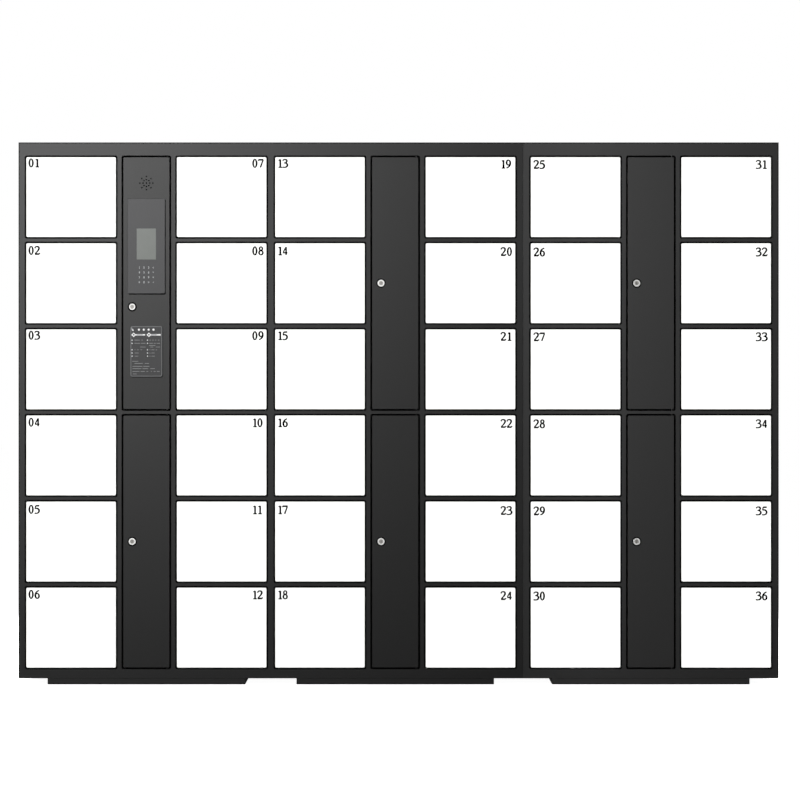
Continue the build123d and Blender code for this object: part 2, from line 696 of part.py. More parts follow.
def control_unit(opening):
    """Control board on four posts, display module, keypad sensor and speaker."""
    (left, right), (low, high) = fascia_limits(opening)
    board_x = (left + BOARD_MARGIN, right - BOARD_MARGIN)
    board_z = (low + BOARD_MARGIN, high - BOARD_MARGIN)
    pieces = [block(board_x, (BOARD_SETBACK, BOARD_SETBACK + BOARD_SHEET), board_z)]
    for x in (board_x[0] + POST_INSET, board_x[1] - POST_INSET):
        for z in (board_z[0] + POST_INSET, board_z[1] - POST_INSET):
            pieces.append(rod(x, DOOR_SHEET, z, POST_RADIUS, "y", BOARD_SETBACK - DOOR_SHEET))
    module_x, module_z = display_limits(opening, DISPLAY_BORDER + MODULE_FIT)
    pieces.append(block(module_x, (WINDOW_THICKNESS - FASCIA_PROUD, BOARD_SETBACK), module_z))
    sensor_x, sensor_z = keypad_limits(opening, MODULE_FIT)
    sensor = block(sensor_x, (0, BOARD_SHEET), sensor_z)
    plug_x = (opening.middle[0] - SENSOR_PLUG_WIDTH / 2, opening.middle[0] + SENSOR_PLUG_WIDTH / 2)
    plug_middle = sum(sensor_z) / 2
    plug_z = (plug_middle - SENSOR_PLUG_HEIGHT / 2, plug_middle + SENSOR_PLUG_HEIGHT / 2)
    pieces.append(sensor + block(plug_x, (BOARD_SHEET, BOARD_SETBACK), plug_z))
    x, z = speaker_place(opening)
    speaker = rod(x, DOOR_SHEET, z, SPEAKER_FLANGE_RADIUS, "y", SPEAKER_FLANGE)
    speaker += rod(x, DOOR_SHEET, z, SPEAKER_BODY_RADIUS, "y", SPEAKER_BODY_DEPTH)
    pieces.append(speaker)
    return pieces


def on_back(column, size, low):
    """A box of a given size on the back sheet of a service column."""
    middle = sum(column.x) / 2
    x = (middle - size[0] / 2, middle + size[0] / 2)
    return block(x, (BACK_INSIDE - size[1], BACK_INSIDE), (low, low + size[2]))


def power_equipment(columns):
    """Power supply, battery and mains inlet in the first service column, a lock board in each."""
    first = columns[0]
    floor = BODY_BOTTOM + PANEL_SHEET
    middle = sum(first.x) / 2
    battery_x = (middle - BATTERY_SIZE[0] / 2, middle + BATTERY_SIZE[0] / 2)
    battery_back = BACK_INSIDE - BATTERY_FROM_BACK
    battery_depth = (battery_back - BATTERY_SIZE[1], battery_back)
    pieces = [
        on_back(first, SUPPLY_SIZE, floor + SUPPLY_RISE),
        block(battery_x, battery_depth, (floor, floor + BATTERY_SIZE[2])),
        grommet(first),
    ]
    for column in columns:
        shelf_top = column.openings[0].z[0]
        pieces.append(on_back(column, LOCK_BOARD_SIZE, shelf_top + LOCK_BOARD_RISE))
    return pieces


def joining_bolts(seam):
    """Bolts through the two side panels at the seam, each with its nut."""
    bolts = []
    for depth, z in coupling_points():
        head_start = seam - PANEL_SHEET - BOLT_HEAD
        shank_length = BOLT_HEAD + 2 * PANEL_SHEET + BOLT_HEAD + BOLT_END
        bolt = rod(head_start, depth, z, BOLT_HEAD_RADIUS, "x", BOLT_HEAD)
        bolt += rod(head_start, depth, z, BOLT_RADIUS, "x", shank_length)
        nut = rod(seam + PANEL_SHEET, depth, z, BOLT_HEAD_RADIUS, "x", BOLT_HEAD)
        nut -= rod(seam, depth, z, BOLT_RADIUS + BARREL_FIT, "x", 2 * BOLT_HEAD)
        bolts += [bolt, nut]
    return bolts


def main():
    os.makedirs("parts", exist_ok=True)
    left = -TOTAL_WIDTH / 2
    main_cabinet = Cabinet(left, MAIN_GROUPS)
    extension = Cabinet(left + MAIN_WIDTH, EXTENSION_GROUPS)
    cabinets = [main_cabinet, extension]
    columns = [column for cabinet in cabinets for column in cabinet.columns]
    service_columns = [column for column in columns if column.kind == "service"]
    deposit = [opening for column in columns if column.kind != "service" for opening in column.openings]

    save("face_frames", [face_frame(cabinet) for cabinet in cabinets])
    members = [member for cabinet in cabinets for member in frame_members(cabinet)]
    save("frame_members", members + joining_bolts(left + MAIN_WIDTH))
    panels = [panel for cabinet in cabinets for panel in carcass(cabinet)]
    x, z = grommet_place(service_columns[0])
    inlet = rod(x, BACK_INSIDE - 1, z, GROMMET_NECK + GROMMET_FIT, "y", PANEL_SHEET + 2)
    save("carcass_panels", [panel - inlet for panel in panels])
    save("compartment_walls", [wall for cabinet in cabinets for wall in inner_walls(cabinet)])
    save("plinths", [plinth(x) for cabinet in cabinets for x in cabinet.group_x])
    save("electric_locks", [lock_case(opening) for opening in deposit])
    save("lock_bolts", [lock_bolt(opening) for opening in deposit])
    save("power_equipment", power_equipment(service_columns))

    for number, opening in enumerate(deposit, start=1):
        save(f"door_{number:02d}", [door_pan(opening), *hinge_pins(opening), striker(opening)])

    control = service_columns[0].openings[0]
    for letter, column in zip("abc", service_columns):
        for level, opening in zip(("upper", "lower"), column.openings):
            cuts = control_door_cuts(opening) if opening is control else []
            x, z = cam_lock_place(opening, control)
            cuts.append(rod(x, -1, z, BARREL_RADIUS + BARREL_FIT, "y", DOOR_SHEET + 2))
            pieces = [door_pan(opening, cuts), *hinge_pins(opening), *lock_barrel(x, z)]
            save(f"service_door_{letter}_{level}", pieces)
            save(f"lock_plug_{letter}_{level}", lock_plug(x, z))

    save("control_fascia", [control_fascia(control)])
    save("display_window", [display_window(control)])
    save("instruction_plate", [instruction_plate(control)])
    save("control_unit", control_unit(control))


main()
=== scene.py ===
import math

import bmesh
import bpy
from mathutils import Matrix, Vector


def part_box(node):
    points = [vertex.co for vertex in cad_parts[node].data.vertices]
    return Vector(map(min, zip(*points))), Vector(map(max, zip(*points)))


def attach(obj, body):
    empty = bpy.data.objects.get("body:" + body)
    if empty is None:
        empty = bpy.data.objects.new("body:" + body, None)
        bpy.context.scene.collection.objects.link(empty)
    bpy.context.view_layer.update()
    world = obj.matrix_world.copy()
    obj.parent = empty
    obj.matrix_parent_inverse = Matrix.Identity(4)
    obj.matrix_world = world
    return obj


bl_info = {
    "name": "Electronic deposit locker",
    "version": (1, 0, 0),
    "blender": (4, 5, 0),
    "location": "View3D > Sidebar > Locker",
    "description": "Finishes, printing, small hardware and studio for a 36-door deposit locker",
    "category": "Object",
}

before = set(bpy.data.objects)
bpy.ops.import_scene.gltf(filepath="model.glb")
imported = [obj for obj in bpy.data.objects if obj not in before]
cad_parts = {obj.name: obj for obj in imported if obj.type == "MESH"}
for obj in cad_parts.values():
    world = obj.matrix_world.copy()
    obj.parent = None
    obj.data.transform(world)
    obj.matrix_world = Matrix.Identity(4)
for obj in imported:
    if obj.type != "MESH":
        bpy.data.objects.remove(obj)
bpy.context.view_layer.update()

MM = 0.001
CONTROL_BODY = "service_door_a_upper"
DOORS = sorted(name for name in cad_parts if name.startswith("door_"))
SERVICE_DOORS = sorted(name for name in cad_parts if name.startswith("service_door_"))
LOCK_PLUGS = sorted(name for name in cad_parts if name.startswith("lock_plug_"))
ROWS_OF_DOORS = 6

# The main cabinet ends and the extension begins in the middle of the seam between doors 24 and 25
SEAM_X = (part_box("door_24")[1].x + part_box("door_25")[0].x) / 2
FACE_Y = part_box("face_frames")[0].y
BACK_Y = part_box("carcass_panels")[1].y

# Which way a piece faces that stands on the front or on the back
FORWARD = (0, -1, 0)
REARWARD = (0, 1, 0)

# A door's hinge pins stand this far above and below its pan, and the gap round the pan is half of that
PIN_BEYOND_PAN = 9.0 * MM
DOOR_GAP = 4.5 * MM
OPENING_RADIUS = 6.5 * MM
# Depths behind the face: where a pan ends and its striker begins, and where the stop strips stand
PAN_DEPTH = 16.05 * MM
STOP_DEPTH = 18.94 * MM

# Cam lock: from its axis to the plug's top, then radii: its polished faces, and its head, nut and bore,
# these three with a little over
PLUG_RISE = 7 * MM
POLISHED_RADIUS = 11.4 * MM
CONTROL_POLISHED_RADIUS = 10.0 * MM
HEAD_RADIUS = 12.1 * MM
NUT_RADIUS = 14.1 * MM
LOCK_HOLE_RADIUS = 9.57 * MM
SERVICE_SHEET = 1.2 * MM
FACE_TOLERANCE = 0.02 * MM

# Speaker holes: their middle, and the radii of their two rings
SPEAKER_Z = 1665 * MM
SPEAKER_RINGS = (11.4 * MM, 21.6 * MM)
HOLES_IN_RING = 8

# How thick printing stands on the fascia and on the plate
FILM = 0.15 * MM

# Equipment in the service columns: lower ends, depths from the back sheet, and the battery's top and front
PANEL_SHEET = 1.2 * MM
SUPPLY_Z = 281.2 * MM
SUPPLY_DEPTH = 50 * MM
LOCK_BOARD_Z = 1309.5 * MM
LOCK_BOARD_DEPTH = 25 * MM
BATTERY_TOP = 91.2 * MM
BATTERY_FRONT = FACE_Y + 108.8 * MM
BOARD_REAR = 11.6 * MM
CASE_SCREW = (3.2 * MM, 1.3 * MM)

# Parts on the rear of the control board, in mm: across and up to the middle, half sizes, height
BOARD_PARTS = (
    (-18, 150, 14, 14, 2.4), (24, 168, 9, 6, 2.0), (24, 140, 9, 6, 2.0), (-24, 210, 8, 5, 1.8),
    (20, 215, 6, 11, 8.0),
)

# Numerals, as pen strokes in a box one unit high. A stroke is a list of (across, up, width).
NUMERAL_MIDDLE = 0.30
NUMERAL_WIDTH = 0.58
NUMERALS = {
    "0": [("loop", [(0.30, 0.98, 0.05), (0.12, 0.76, 0.10), (0.08, 0.50, 0.13), (0.12, 0.24, 0.10),
                    (0.30, 0.02, 0.05), (0.48, 0.24, 0.10), (0.52, 0.50, 0.13), (0.48, 0.76, 0.10)])],
    "1": [("line", [(0.32, 0.02, 0.12), (0.32, 0.98, 0.12)]),
          ("line", [(0.14, 0.85, 0.05), (0.33, 0.97, 0.05)]),
          ("line", [(0.13, 0.02, 0.05), (0.50, 0.02, 0.05)])],
    "2": [("curve", [(0.07, 0.74, 0.06), (0.14, 0.91, 0.06), (0.28, 0.97, 0.07), (0.44, 0.88, 0.12),
                     (0.47, 0.73, 0.12), (0.40, 0.53, 0.10), (0.25, 0.29, 0.06), (0.09, 0.09, 0.05)]),
          ("line", [(0.07, 0.06, 0.11), (0.49, 0.06, 0.11)]),
          ("line", [(0.48, 0.05, 0.05), (0.56, 0.21, 0.05)])],
    "3": [("curve", [(0.08, 0.80, 0.05), (0.16, 0.93, 0.06), (0.27, 0.97, 0.06), (0.42, 0.89, 0.11),
                     (0.44, 0.75, 0.11), (0.37, 0.61, 0.07), (0.22, 0.54, 0.05)]),
          ("curve", [(0.20, 0.55, 0.05), (0.34, 0.53, 0.06), (0.46, 0.42, 0.11), (0.49, 0.28, 0.13),
                     (0.42, 0.10, 0.10), (0.24, 0.02, 0.05), (0.11, 0.04, 0.07), (0.07, 0.08, 0.09)])],
    "4": [("line", [(0.41, 0.00, 0.10), (0.41, 0.98, 0.10)]),
          ("line", [(0.39, 0.96, 0.05), (0.04, 0.29, 0.05)]),
          ("line", [(0.03, 0.27, 0.07), (0.58, 0.27, 0.07)])],
    "5": [("line", [(0.16, 0.93, 0.10), (0.50, 0.94, 0.10)]),
          ("line", [(0.16, 0.94, 0.05), (0.10, 0.57, 0.05)]),
          ("curve", [(0.10, 0.57, 0.05), (0.25, 0.62, 0.08), (0.41, 0.53, 0.12), (0.48, 0.34, 0.13),
                     (0.41, 0.12, 0.10), (0.24, 0.02, 0.05), (0.11, 0.04, 0.07), (0.07, 0.08, 0.09)])],
    "6": [("curve", [(0.52, 0.98, 0.04), (0.33, 0.88, 0.07), (0.16, 0.67, 0.11), (0.10, 0.40, 0.13),
                     (0.15, 0.14, 0.10), (0.30, 0.02, 0.05), (0.45, 0.12, 0.10), (0.50, 0.31, 0.13),
                     (0.45, 0.50, 0.10), (0.32, 0.60, 0.05), (0.20, 0.56, 0.05), (0.12, 0.44, 0.05)])],
    "7": [("line", [(0.06, 0.93, 0.11), (0.54, 0.93, 0.11)]),
          ("line", [(0.07, 0.94, 0.05), (0.03, 0.79, 0.05)]),
          ("line", [(0.52, 0.92, 0.06), (0.24, 0.00, 0.09)])],
    "8": [("loop", [(0.30, 0.98, 0.05), (0.14, 0.77, 0.10), (0.30, 0.56, 0.06), (0.46, 0.77, 0.10)]),
          ("loop", [(0.30, 0.54, 0.06), (0.09, 0.27, 0.12), (0.30, 0.02, 0.05), (0.51, 0.27, 0.12)])],
}
NUMERALS["9"] = [
    (kind, [(2 * NUMERAL_MIDDLE - across, 1.0 - up, width) for across, up, width in points])
    for kind, points in NUMERALS["6"]
]

# How wide each numeral is printed on the doors, against its drawing
PRINTED_WIDTHS = {
    "0": 0.95, "1": 1.2, "2": 1.27, "3": 1.4, "4": 1.0, "5": 1.28, "6": 1.11, "7": 1.24, "8": 1.09, "9": 1.1,
}
# The numbers were put on one by one. In mm: how far each column of doors has them to the right and down,
# and how far each row has them down
COLUMN_SHIFTS = ((-1.1, 0.1), (-1.6, 1.6), (-0.7, 1.6), (-3.0, 4.1), (1.0, 5.4), (-4.2, 5.1))
ROW_DROPS = (-2.9, 1.7, -2.6, 0.4, 3.6, 0.0)

# Plain marks for the keypad's other keys, drawn as the numerals are
KEY_MARKS = {
    "up": [("line", [(0.10, 0.25, 0.1), (0.30, 0.80, 0.1), (0.50, 0.25, 0.1), (0.10, 0.25, 0.1)])],
    "down": [("line", [(0.10, 0.75, 0.1), (0.30, 0.20, 0.1), (0.50, 0.75, 0.1), (0.10, 0.75, 0.1)])],
    "cross": [("line", [(0.06, 0.20, 0.1), (0.54, 0.80, 0.1)]),
              ("line", [(0.06, 0.80, 0.1), (0.54, 0.20, 0.1)])],
    "tick": [("line", [(0.05, 0.50, 0.1), (0.24, 0.20, 0.1), (0.56, 0.82, 0.1)])],
    "square": [("line", [(0.08, 0.22, 0.1), (0.08, 0.78, 0.1), (0.54, 0.78, 0.1), (0.54, 0.22, 0.1),
                         (0.08, 0.22, 0.1)])],
    "ring": [("loop", [(0.30, 0.82, 0.1), (0.04, 0.50, 0.1), (0.30, 0.18, 0.1), (0.56, 0.50, 0.1)])],
}
KEYPAD_ROWS = (
    ("1", "2", "3", "up"), ("4", "5", "6", "down"), ("7", "8", "9", "cross"), ("ring", "0", "square", "tick"),
)
KEY_STROKE = 0.18

# Instruction plate, in mm from its left and top edges. Each row is (drop, runs across).
PLATE_HEAD_DOTS = (11.9, (28.3, 44.4, 60.6, 76.8))
PLATE_BARS = (29.0, ((4.2, 49.0), (55.2, 100.8)))
PLATE_BAR_NOTES = ((20.9, 41.2), (68.4, 87.3))
PLATE_DIAMONDS = (11.0, 61.5)
PLATE_CORNER_MARK = ((2.6, 5.6, 5.0), (6.6, 11.2, 5.0), (9.8, 15.6, 3.6))
PLATE_BULLETS = ((46.6, 57.2, 78.8, 89.4, 99.9), (5.6, 56.9))
PLATE_NOTES = (
    (46.6, ((13.5, 31.0), (36.5, 41.5), (63.0, 68.0), (72.5, 78.0), (82.0, 86.0), (91.5, 96.5))),
    (57.2, ((13.5, 32.0), (35.0, 50.0), (62.5, 75.0), (78.0, 84.0), (87.0, 98.0))),
    (64.6, ((62.0, 83.0),)),
    (69.6, ((32.5, 50.0), (66.0, 75.0), (85.0, 98.5))),
    (78.8, ((13.5, 17.0), (21.5, 28.0), (33.5, 39.0), (63.5, 66.5), (70.0, 80.0), (84.0, 88.5))),
    (89.4, ((14.5, 27.5), (63.5, 66.5), (70.0, 80.0))),
    (99.9, ((14.5, 26.0), (63.5, 66.5), (70.0, 81.0))),
    (117.0, ((6.0, 26.0),)),
    (124.2, ((13.5, 41.0), (48.0, 61.5))),
    (133.8, ((7.0, 40.0), (43.0, 63.0))),
    (141.4, ((7.0, 36.0), (40.0, 59.0), (66.0, 81.0))),
    (150.6, ((7.0, 30.0), (34.0, 48.0), (53.5, 59.0), (68.0, 71.0), (77.5, 83.5), (88.0, 97.0))),
    (159.0, ((8.5, 21.0),)),
)


def millimetres(name, default, description):
    """A length property shown in the scene's unit, with its default in millimetres."""
    return bpy.props.FloatProperty(
        name=name, default=default * MM, min=0.0, precision=5, unit="LENGTH", description=description
    )


def fraction(name, default, description):
    """A property between 0 and 1."""
    return bpy.props.FloatProperty(
        name=name, default=default, min=0.0, max=1.0, subtype="FACTOR", description=description
    )


def watts(name, default, description):
    """The power of a light."""
    return bpy.props.FloatProperty(name=name, default=default, min=0.0, unit="POWER", description=description)


def group(kind, name, description):
    """A pointer to one group of settings."""
    return bpy.props.PointerProperty(type=kind, name=name, description=description)


def linear(hex_colour):
    """An sRGB hex value as linear red, green, blue and full alpha."""
    channels = [int(hex_colour[start:start + 2], 16) / 255 for start in (1, 3, 5)]
    return [c / 12.92 if c <= 0.04045 else ((c + 0.055) / 1.055) ** 2.4 for c in channels] + [1.0]


def paint_colour(name, default, description):
    """A colour property, with its default as the sRGB hex value a maker would quote."""
    return bpy.props.FloatVectorProperty(
        name=name, size=4, default=linear(default), min=0.0, max=1.0, subtype="COLOR", description=description
    )


class LockerNumberSettings(bpy.types.PropertyGroup):
    height: millimetres("Height", 27.5, "Height of a door number, along its strokes")
    pitch: millimetres("Pitch", 20.2, "From the start of one digit to the next")
    pitch_after_one: millimetres("Pitch after a one", 16.9, "From the start of a 1 to the next digit")
    side_inset: millimetres("Side inset", 8.65, "From the door's outer edge to the number")
    top_inset: millimetres("Top inset", 8.2, "From the door's top edge to the number")
    ink_spread: millimetres("Ink spread", 2.9, "How much wider the ink is than the drawn stroke")
    ink: paint_colour("Ink", "#060606", "Colour of the printed number")


class LockerPaintSettings(bpy.types.PropertyGroup):
    frame_colour: paint_colour("Frame", "#060606", "Powder coat of both cabinets")
    service_colour: paint_colour("Service doors", "#060606", "Powder coat of the service doors")
    door_colour: paint_colour("Doors", "#EFEFED", "Powder coat of the deposit doors")
    # Painted shade: width of the near-black, rough band along the cabinet's outer edges
    shaded_edge: millimetres("Shaded edge", 3.0, "Width of the thin dull coat along the outer edges")
    # Painted shade: width of the black ring round each opening that darkens the gap line
    shade_bead: millimetres("Bead", 1.0, "Width of the black sealing bead round each opening")
    peel: millimetres("Orange peel", 3.0, "Width of the waves in the cured coat")
    satin: fraction("Satin", 0.37, "Roughness of the charcoal coat")


class LockerPanelSettings(bpy.types.PropertyGroup):
    key_pitch_x: millimetres("Key pitch across", 15.3, "Between two columns of keypad marks")
    key_pitch_z: millimetres("Key pitch up", 16.3, "Between two rows of keypad marks")
    key_height: millimetres("Key mark height", 6.6, "Height of a keypad mark")
    keypad_rise: millimetres("Keypad rise", 62.0, "From the fascia's lower edge to the keypad's middle")
    # Painted highlight: width of the lighter grey border round the screen
    border: millimetres("Display border", 3.4, "Width of the printed border round the screen")
    outline: millimetres("Plate outline", 2.8, "Width of the line round the instruction plate")
    # Painted shadow: how far the black sheet shows below and beside the fascia
    shadow_seal: millimetres("Fascia seal", 3.6, "How far the seal shows below and beside the fascia")
    # Painted shade: width of the black ring round each lock head
    lock_ring: millimetres("Lock ring", 3.2, "Width of the black ring round each lock head")


class LockerStudioSettings(bpy.types.PropertyGroup):
    key_power: watts("Key light", 190.0, "Soft light high on the left")
    fill_power: watts("Fill light", 240.0, "Broad light from the camera's side")
    side_power: watts("Side lights", 170.0, "Lights for the sides and the back")
    ambient: fraction("Ambient", 0.03, "Strength of the room's own light")
    distance: bpy.props.FloatProperty(
        name="Camera distance", default=18.45, min=1.0, unit="LENGTH",
        description="From the camera to the doors",
    )
    lens: bpy.props.FloatProperty(
        name="Lens", default=250.0, min=10.0, unit="CAMERA", description="Focal length on a 36 mm wide sensor"
    )


class LockerSettings(bpy.types.PropertyGroup):
    numbers: group(LockerNumberSettings, "Numbers", "Door numbers")
    paint: group(LockerPaintSettings, "Paint", "Powder coats")
    panel: group(LockerPanelSettings, "Panel", "Control door printing")
    studio: group(LockerStudioSettings, "Studio", "Lights and camera")


def add_node(tree, kind, inputs=(), **settings):
    """One shader node with its settings. An input is a number, a colour or another node's output."""
    node = tree.nodes.new(kind)
    for key, value in settings.items():
        setattr(node, key, value)
    for key, value in dict(inputs).items():
        if isinstance(value, bpy.types.NodeSocket):
            tree.links.new(value, node.inputs[key])
        else:
            node.inputs[key].default_value = value
    return node


def new_material(name):
    """An empty node material with its surface shader and its Object coordinates."""
    material = bpy.data.materials.new(name)
    material.use_nodes = True
    tree = material.node_tree
    tree.nodes.clear()
    shader = add_node(tree, "ShaderNodeBsdfPrincipled")
    output = add_node(tree, "ShaderNodeOutputMaterial")
    tree.links.new(shader.outputs[0], output.inputs["Surface"])
    place = add_node(tree, "ShaderNodeTexCoord").outputs["Object"]
    return material, tree, shader, place


def grain(tree, place, size, detail=2.0, roughness=0.5):
    """Noise whose lumps are about the given size in metres."""
    noise = add_node(
        tree, "ShaderNodeTexNoise",
        {"Vector": place, "Scale": 1 / size, "Detail": detail, "Roughness": roughness},
    )
    return noise.outputs["Fac"]


def along(tree, place, axis):
    """One coordinate of a place."""
    return add_node(tree, "ShaderNodeSeparateXYZ", {"Vector": place}).outputs[axis]


def spread(tree, value, low, high, start=0.0, end=1.0):
    """A value between start and end carried to a new range, held inside it."""
    made = add_node(
        tree, "ShaderNodeMapRange",
        {"Value": value, "From Min": start, "From Max": end, "To Min": low, "To Max": high}, clamp=True,
    )
    return made.outputs["Result"]


def calculate(tree, operation, first, second=0.0):
    """One Math node."""
    return add_node(tree, "ShaderNodeMath", {0: first, 1: second}, operation=operation).outputs[0]


def blend_colours(tree, share, first, second):
    """From the first colour to the second, by a share."""
    mixed = add_node(tree, "ShaderNodeMix", {0: share, 6: first, 7: second}, data_type="RGBA")
    return mixed.outputs[2]


def blend_values(tree, share, first, second):
    """From the first value to the second, by a share."""
    return add_node(tree, "ShaderNodeMix", {0: share, 2: first, 3: second}, data_type="FLOAT").outputs[0]


def shade(colour, factor):
    """A linear colour made darker or lighter."""
    return [channel * factor for channel in colour[:3]] + [1.0]


def bump(tree, shader, height, strength, distance):
    """Surface relief from a height, with its depth in metres."""
    made = add_node(
        tree, "ShaderNodeBump", {"Height": height, "Strength": strength, "Distance": distance}
    )
    tree.links.new(made.outputs["Normal"], shader.inputs["Normal"])


def powder_coat(name, colour, peel, roughness, relief=0.35, overcoat=False, metal_mask=None,
                plating="#B4B5B6", frost=0.0, painted_shade_mask=None):
    """Baked powder coat on folded steel: an even satin skin with a faint orange peel.

    overcoat lays a second clear layer on the extension cabinet, which was sprayed in its own batch.
    metal_mask gives where bare steel shows instead, in the colour of its plating.
    frost is how far the plating scatters light instead of mirroring it.
    The shade mask gives where shade is painted: the coat is made near-black and rough there.
    """
    material, tree, shader, place = new_material(name)
    waves = grain(tree, place, peel)
    cloud = grain(tree, place, 0.28, 3.0)
    tone = blend_colours(tree, cloud, shade(colour, 0.93), shade(colour, 1.07))
    rough = spread(tree, waves, roughness - 0.04, roughness + 0.04)
    clear = None
    if overcoat:
        across = along(tree, place, "X")
        # The second layer thickens over the first 220 mm beyond the seam
        build_up = spread(tree, across, 0.5, 1.0, SEAM_X, SEAM_X + 220 * MM)
        clear = calculate(tree, "MULTIPLY", build_up, calculate(tree, "GREATER_THAN", across, SEAM_X))
        shader.inputs["Coat Roughness"].default_value = roughness
        shader.inputs["Coat IOR"].default_value = 1.6
    if painted_shade_mask is not None:
        # Painted shade: near-black and rough where the shade mask holds
        dull = painted_shade_mask(tree, place)
        tone = blend_colours(tree, dull, tone, linear("#020202"))
        rough = blend_values(tree, dull, rough, 0.95)
        if clear is not None:
            clear = blend_values(tree, dull, clear, 0.0)
    if metal_mask is not None:
        bare = metal_mask(tree, place)
        steel = linear(plating)
        steel = blend_colours(tree, cloud, shade(steel, 0.88), steel)
        tone = blend_colours(tree, bare, tone, steel)
        rough = blend_values(tree, bare, rough, 0.4)
        tree.links.new(blend_values(tree, bare, 0.0, 1.0 - frost), shader.inputs["Metallic"])
        if clear is not None:
            clear = blend_values(tree, bare, clear, 0.0)
    tree.links.new(tone, shader.inputs["Base Color"])
    tree.links.new(rough, shader.inputs["Roughness"])
    if clear is not None:
        tree.links.new(clear, shader.inputs["Coat Weight"])
    bump(tree, shader, waves, relief, 0.00012)
    return material


def beyond(axis, limit, operation="GREATER_THAN"):
    """A mask for what lies past a limit on one axis."""
    def mask(tree, place):
        return calculate(tree, operation, along(tree, place, axis), limit)
    return mask


def behind(limit):
    """A mask for what lies further back than a depth."""
    return beyond("Y", limit)


def outside_pan(low, high, pitch):
    """Mask of the hinge pins: they show only above and below each door's own height."""
    def mask(tree, place):
        up = along(tree, place, "Z")
        within = calculate(tree, "FLOORED_MODULO", calculate(tree, "SUBTRACT", up, low), pitch)
        return calculate(tree, "GREATER_THAN", within, high - low)
    return mask


def either(*masks):
    """A mask that holds where any of these does."""
    def mask(tree, place):
        shares = [one(tree, place) for one in masks]
        total = shares[0]
        for share in shares[1:]:
            total = calculate(tree, "MAXIMUM", total, share)
        return total
    return mask


def lock_mask(centre, sheet_front, sheet_back, head_radius, nut_radius, hole_radius):
    """Mask of a cam lock's polished head, barrel and nut: round its axis, outside the door sheet itself."""
    def mask(tree, place):
        away = add_node(
            tree, "ShaderNodeVectorMath", {0: place, 1: (centre[0], 0.0, centre[1])}, operation="SUBTRACT"
        ).outputs[0]
        parts = add_node(tree, "ShaderNodeSeparateXYZ", {"Vector": away})
        radius = calculate(
            tree, "SQRT", calculate(
                tree, "ADD",
                calculate(tree, "MULTIPLY", parts.outputs["X"], parts.outputs["X"]),
                calculate(tree, "MULTIPLY", parts.outputs["Z"], parts.outputs["Z"]),
            ),
        )
        head = calculate(
            tree, "MULTIPLY", calculate(tree, "LESS_THAN", radius, head_radius),
            calculate(tree, "LESS_THAN", parts.outputs["Y"], sheet_front),
        )
        nut = calculate(
            tree, "MULTIPLY", calculate(tree, "LESS_THAN", radius, nut_radius),
            calculate(tree, "GREATER_THAN", parts.outputs["Y"], sheet_back),
        )
        bore = calculate(tree, "LESS_THAN", radius, hole_radius)
        return calculate(tree, "MAXIMUM", calculate(tree, "MAXIMUM", head, nut), bore)
    return mask


def plated_metal(name, colour, roughness, brushed=0.0, frost=0.0):
    """Nickel or zinc plate on a turned or rolled part: bright, with fine tool lines."""
    material, tree, shader, place = new_material(name)
    shader.inputs["Metallic"].default_value = 1.0 - frost
    lines = add_node(tree, "ShaderNodeMapping", {"Vector": place, "Scale": (1.0, 1.0, 12.0)}).outputs[0]
    scratch = grain(tree, lines, 0.006, 3.0)
    tone = blend_colours(tree, grain(tree, place, 0.03), shade(colour, 0.9), colour)
    tree.links.new(tone, shader.inputs["Base Color"])
    tree.links.new(spread(tree, scratch, roughness - 0.06, roughness + 0.08), shader.inputs["Roughness"])
    bump(tree, shader, scratch, 0.15 + brushed, 0.00003)
    return material


def moulded_plastic(name, colour, roughness, pits=0.0018, gloss=0.5):
    """Injection-moulded plastic from an eroded tool: a fine even texture, dull and dark."""
    material, tree, shader, place = new_material(name)
    shader.inputs["Specular IOR Level"].default_value = gloss
    texture = grain(tree, place, pits, 3.0, 0.6)
    tone = blend_colours(tree, grain(tree, place, 0.05), shade(colour, 0.92), shade(colour, 1.08))
    tree.links.new(tone, shader.inputs["Base Color"])
    tree.links.new(spread(tree, texture, roughness - 0.05, roughness + 0.05), shader.inputs["Roughness"])
    bump(tree, shader, texture, 0.3, 0.00008)
    return material


def printed_ink(name, colour, gloss=0.5):
    """Screen-printed ink: flat and even, with the mesh's faint mottle."""
    roughness = 0.55
    material, tree, shader, place = new_material(name)
    shader.inputs["Specular IOR Level"].default_value = gloss
    mottle = grain(tree, place, 0.0012, 2.0)
    tree.links.new(blend_colours(tree, mottle, shade(colour, 0.94), colour), shader.inputs["Base Color"])
    tree.links.new(spread(tree, mottle, roughness - 0.04, roughness + 0.06), shader.inputs["Roughness"])
    return material


def paint_node(node, material):
    """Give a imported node's object its finish in every slot."""
    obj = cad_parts[node]
    for index in range(len(obj.material_slots)):
        obj.material_slots[index].link = "OBJECT"
        obj.material_slots[index].material = material


def add_block(bm, low, high, edge=0.0, segments=2):
    """A box between two corners, its edges rounded."""
    low, high = Vector(low), Vector(high)
    size = high - low
    place = Matrix.Translation((low + high) / 2) @ Matrix.Diagonal((*size, 1.0))
    made = bmesh.ops.create_cube(bm, size=1.0, matrix=place)
    if edge:
        edges = list({e for v in made["verts"] for e in v.link_edges})
        bmesh.ops.bevel(
            bm, geom=edges, offset=edge, offset_type="OFFSET", segments=segments,
            profile=0.5, affect="EDGES", material=-1, clamp_overlap=True,
        )


def turn_to(axis):
    """The turn that carries upright to an axis."""
    return Vector((0, 0, 1)).rotation_difference(Vector(axis)).to_matrix().to_4x4()


def add_disc(bm, x, z, back, radius, thickness, sides):
    """A round disc that stands forward of a plane."""
    middle = Vector((x, back, z)) + Vector(FORWARD) * thickness / 2
    bmesh.ops.create_cone(
        bm, cap_ends=True, cap_tris=False, segments=sides, radius1=radius, radius2=radius,
        depth=thickness, matrix=Matrix.Translation(middle) @ turn_to(FORWARD),
    )


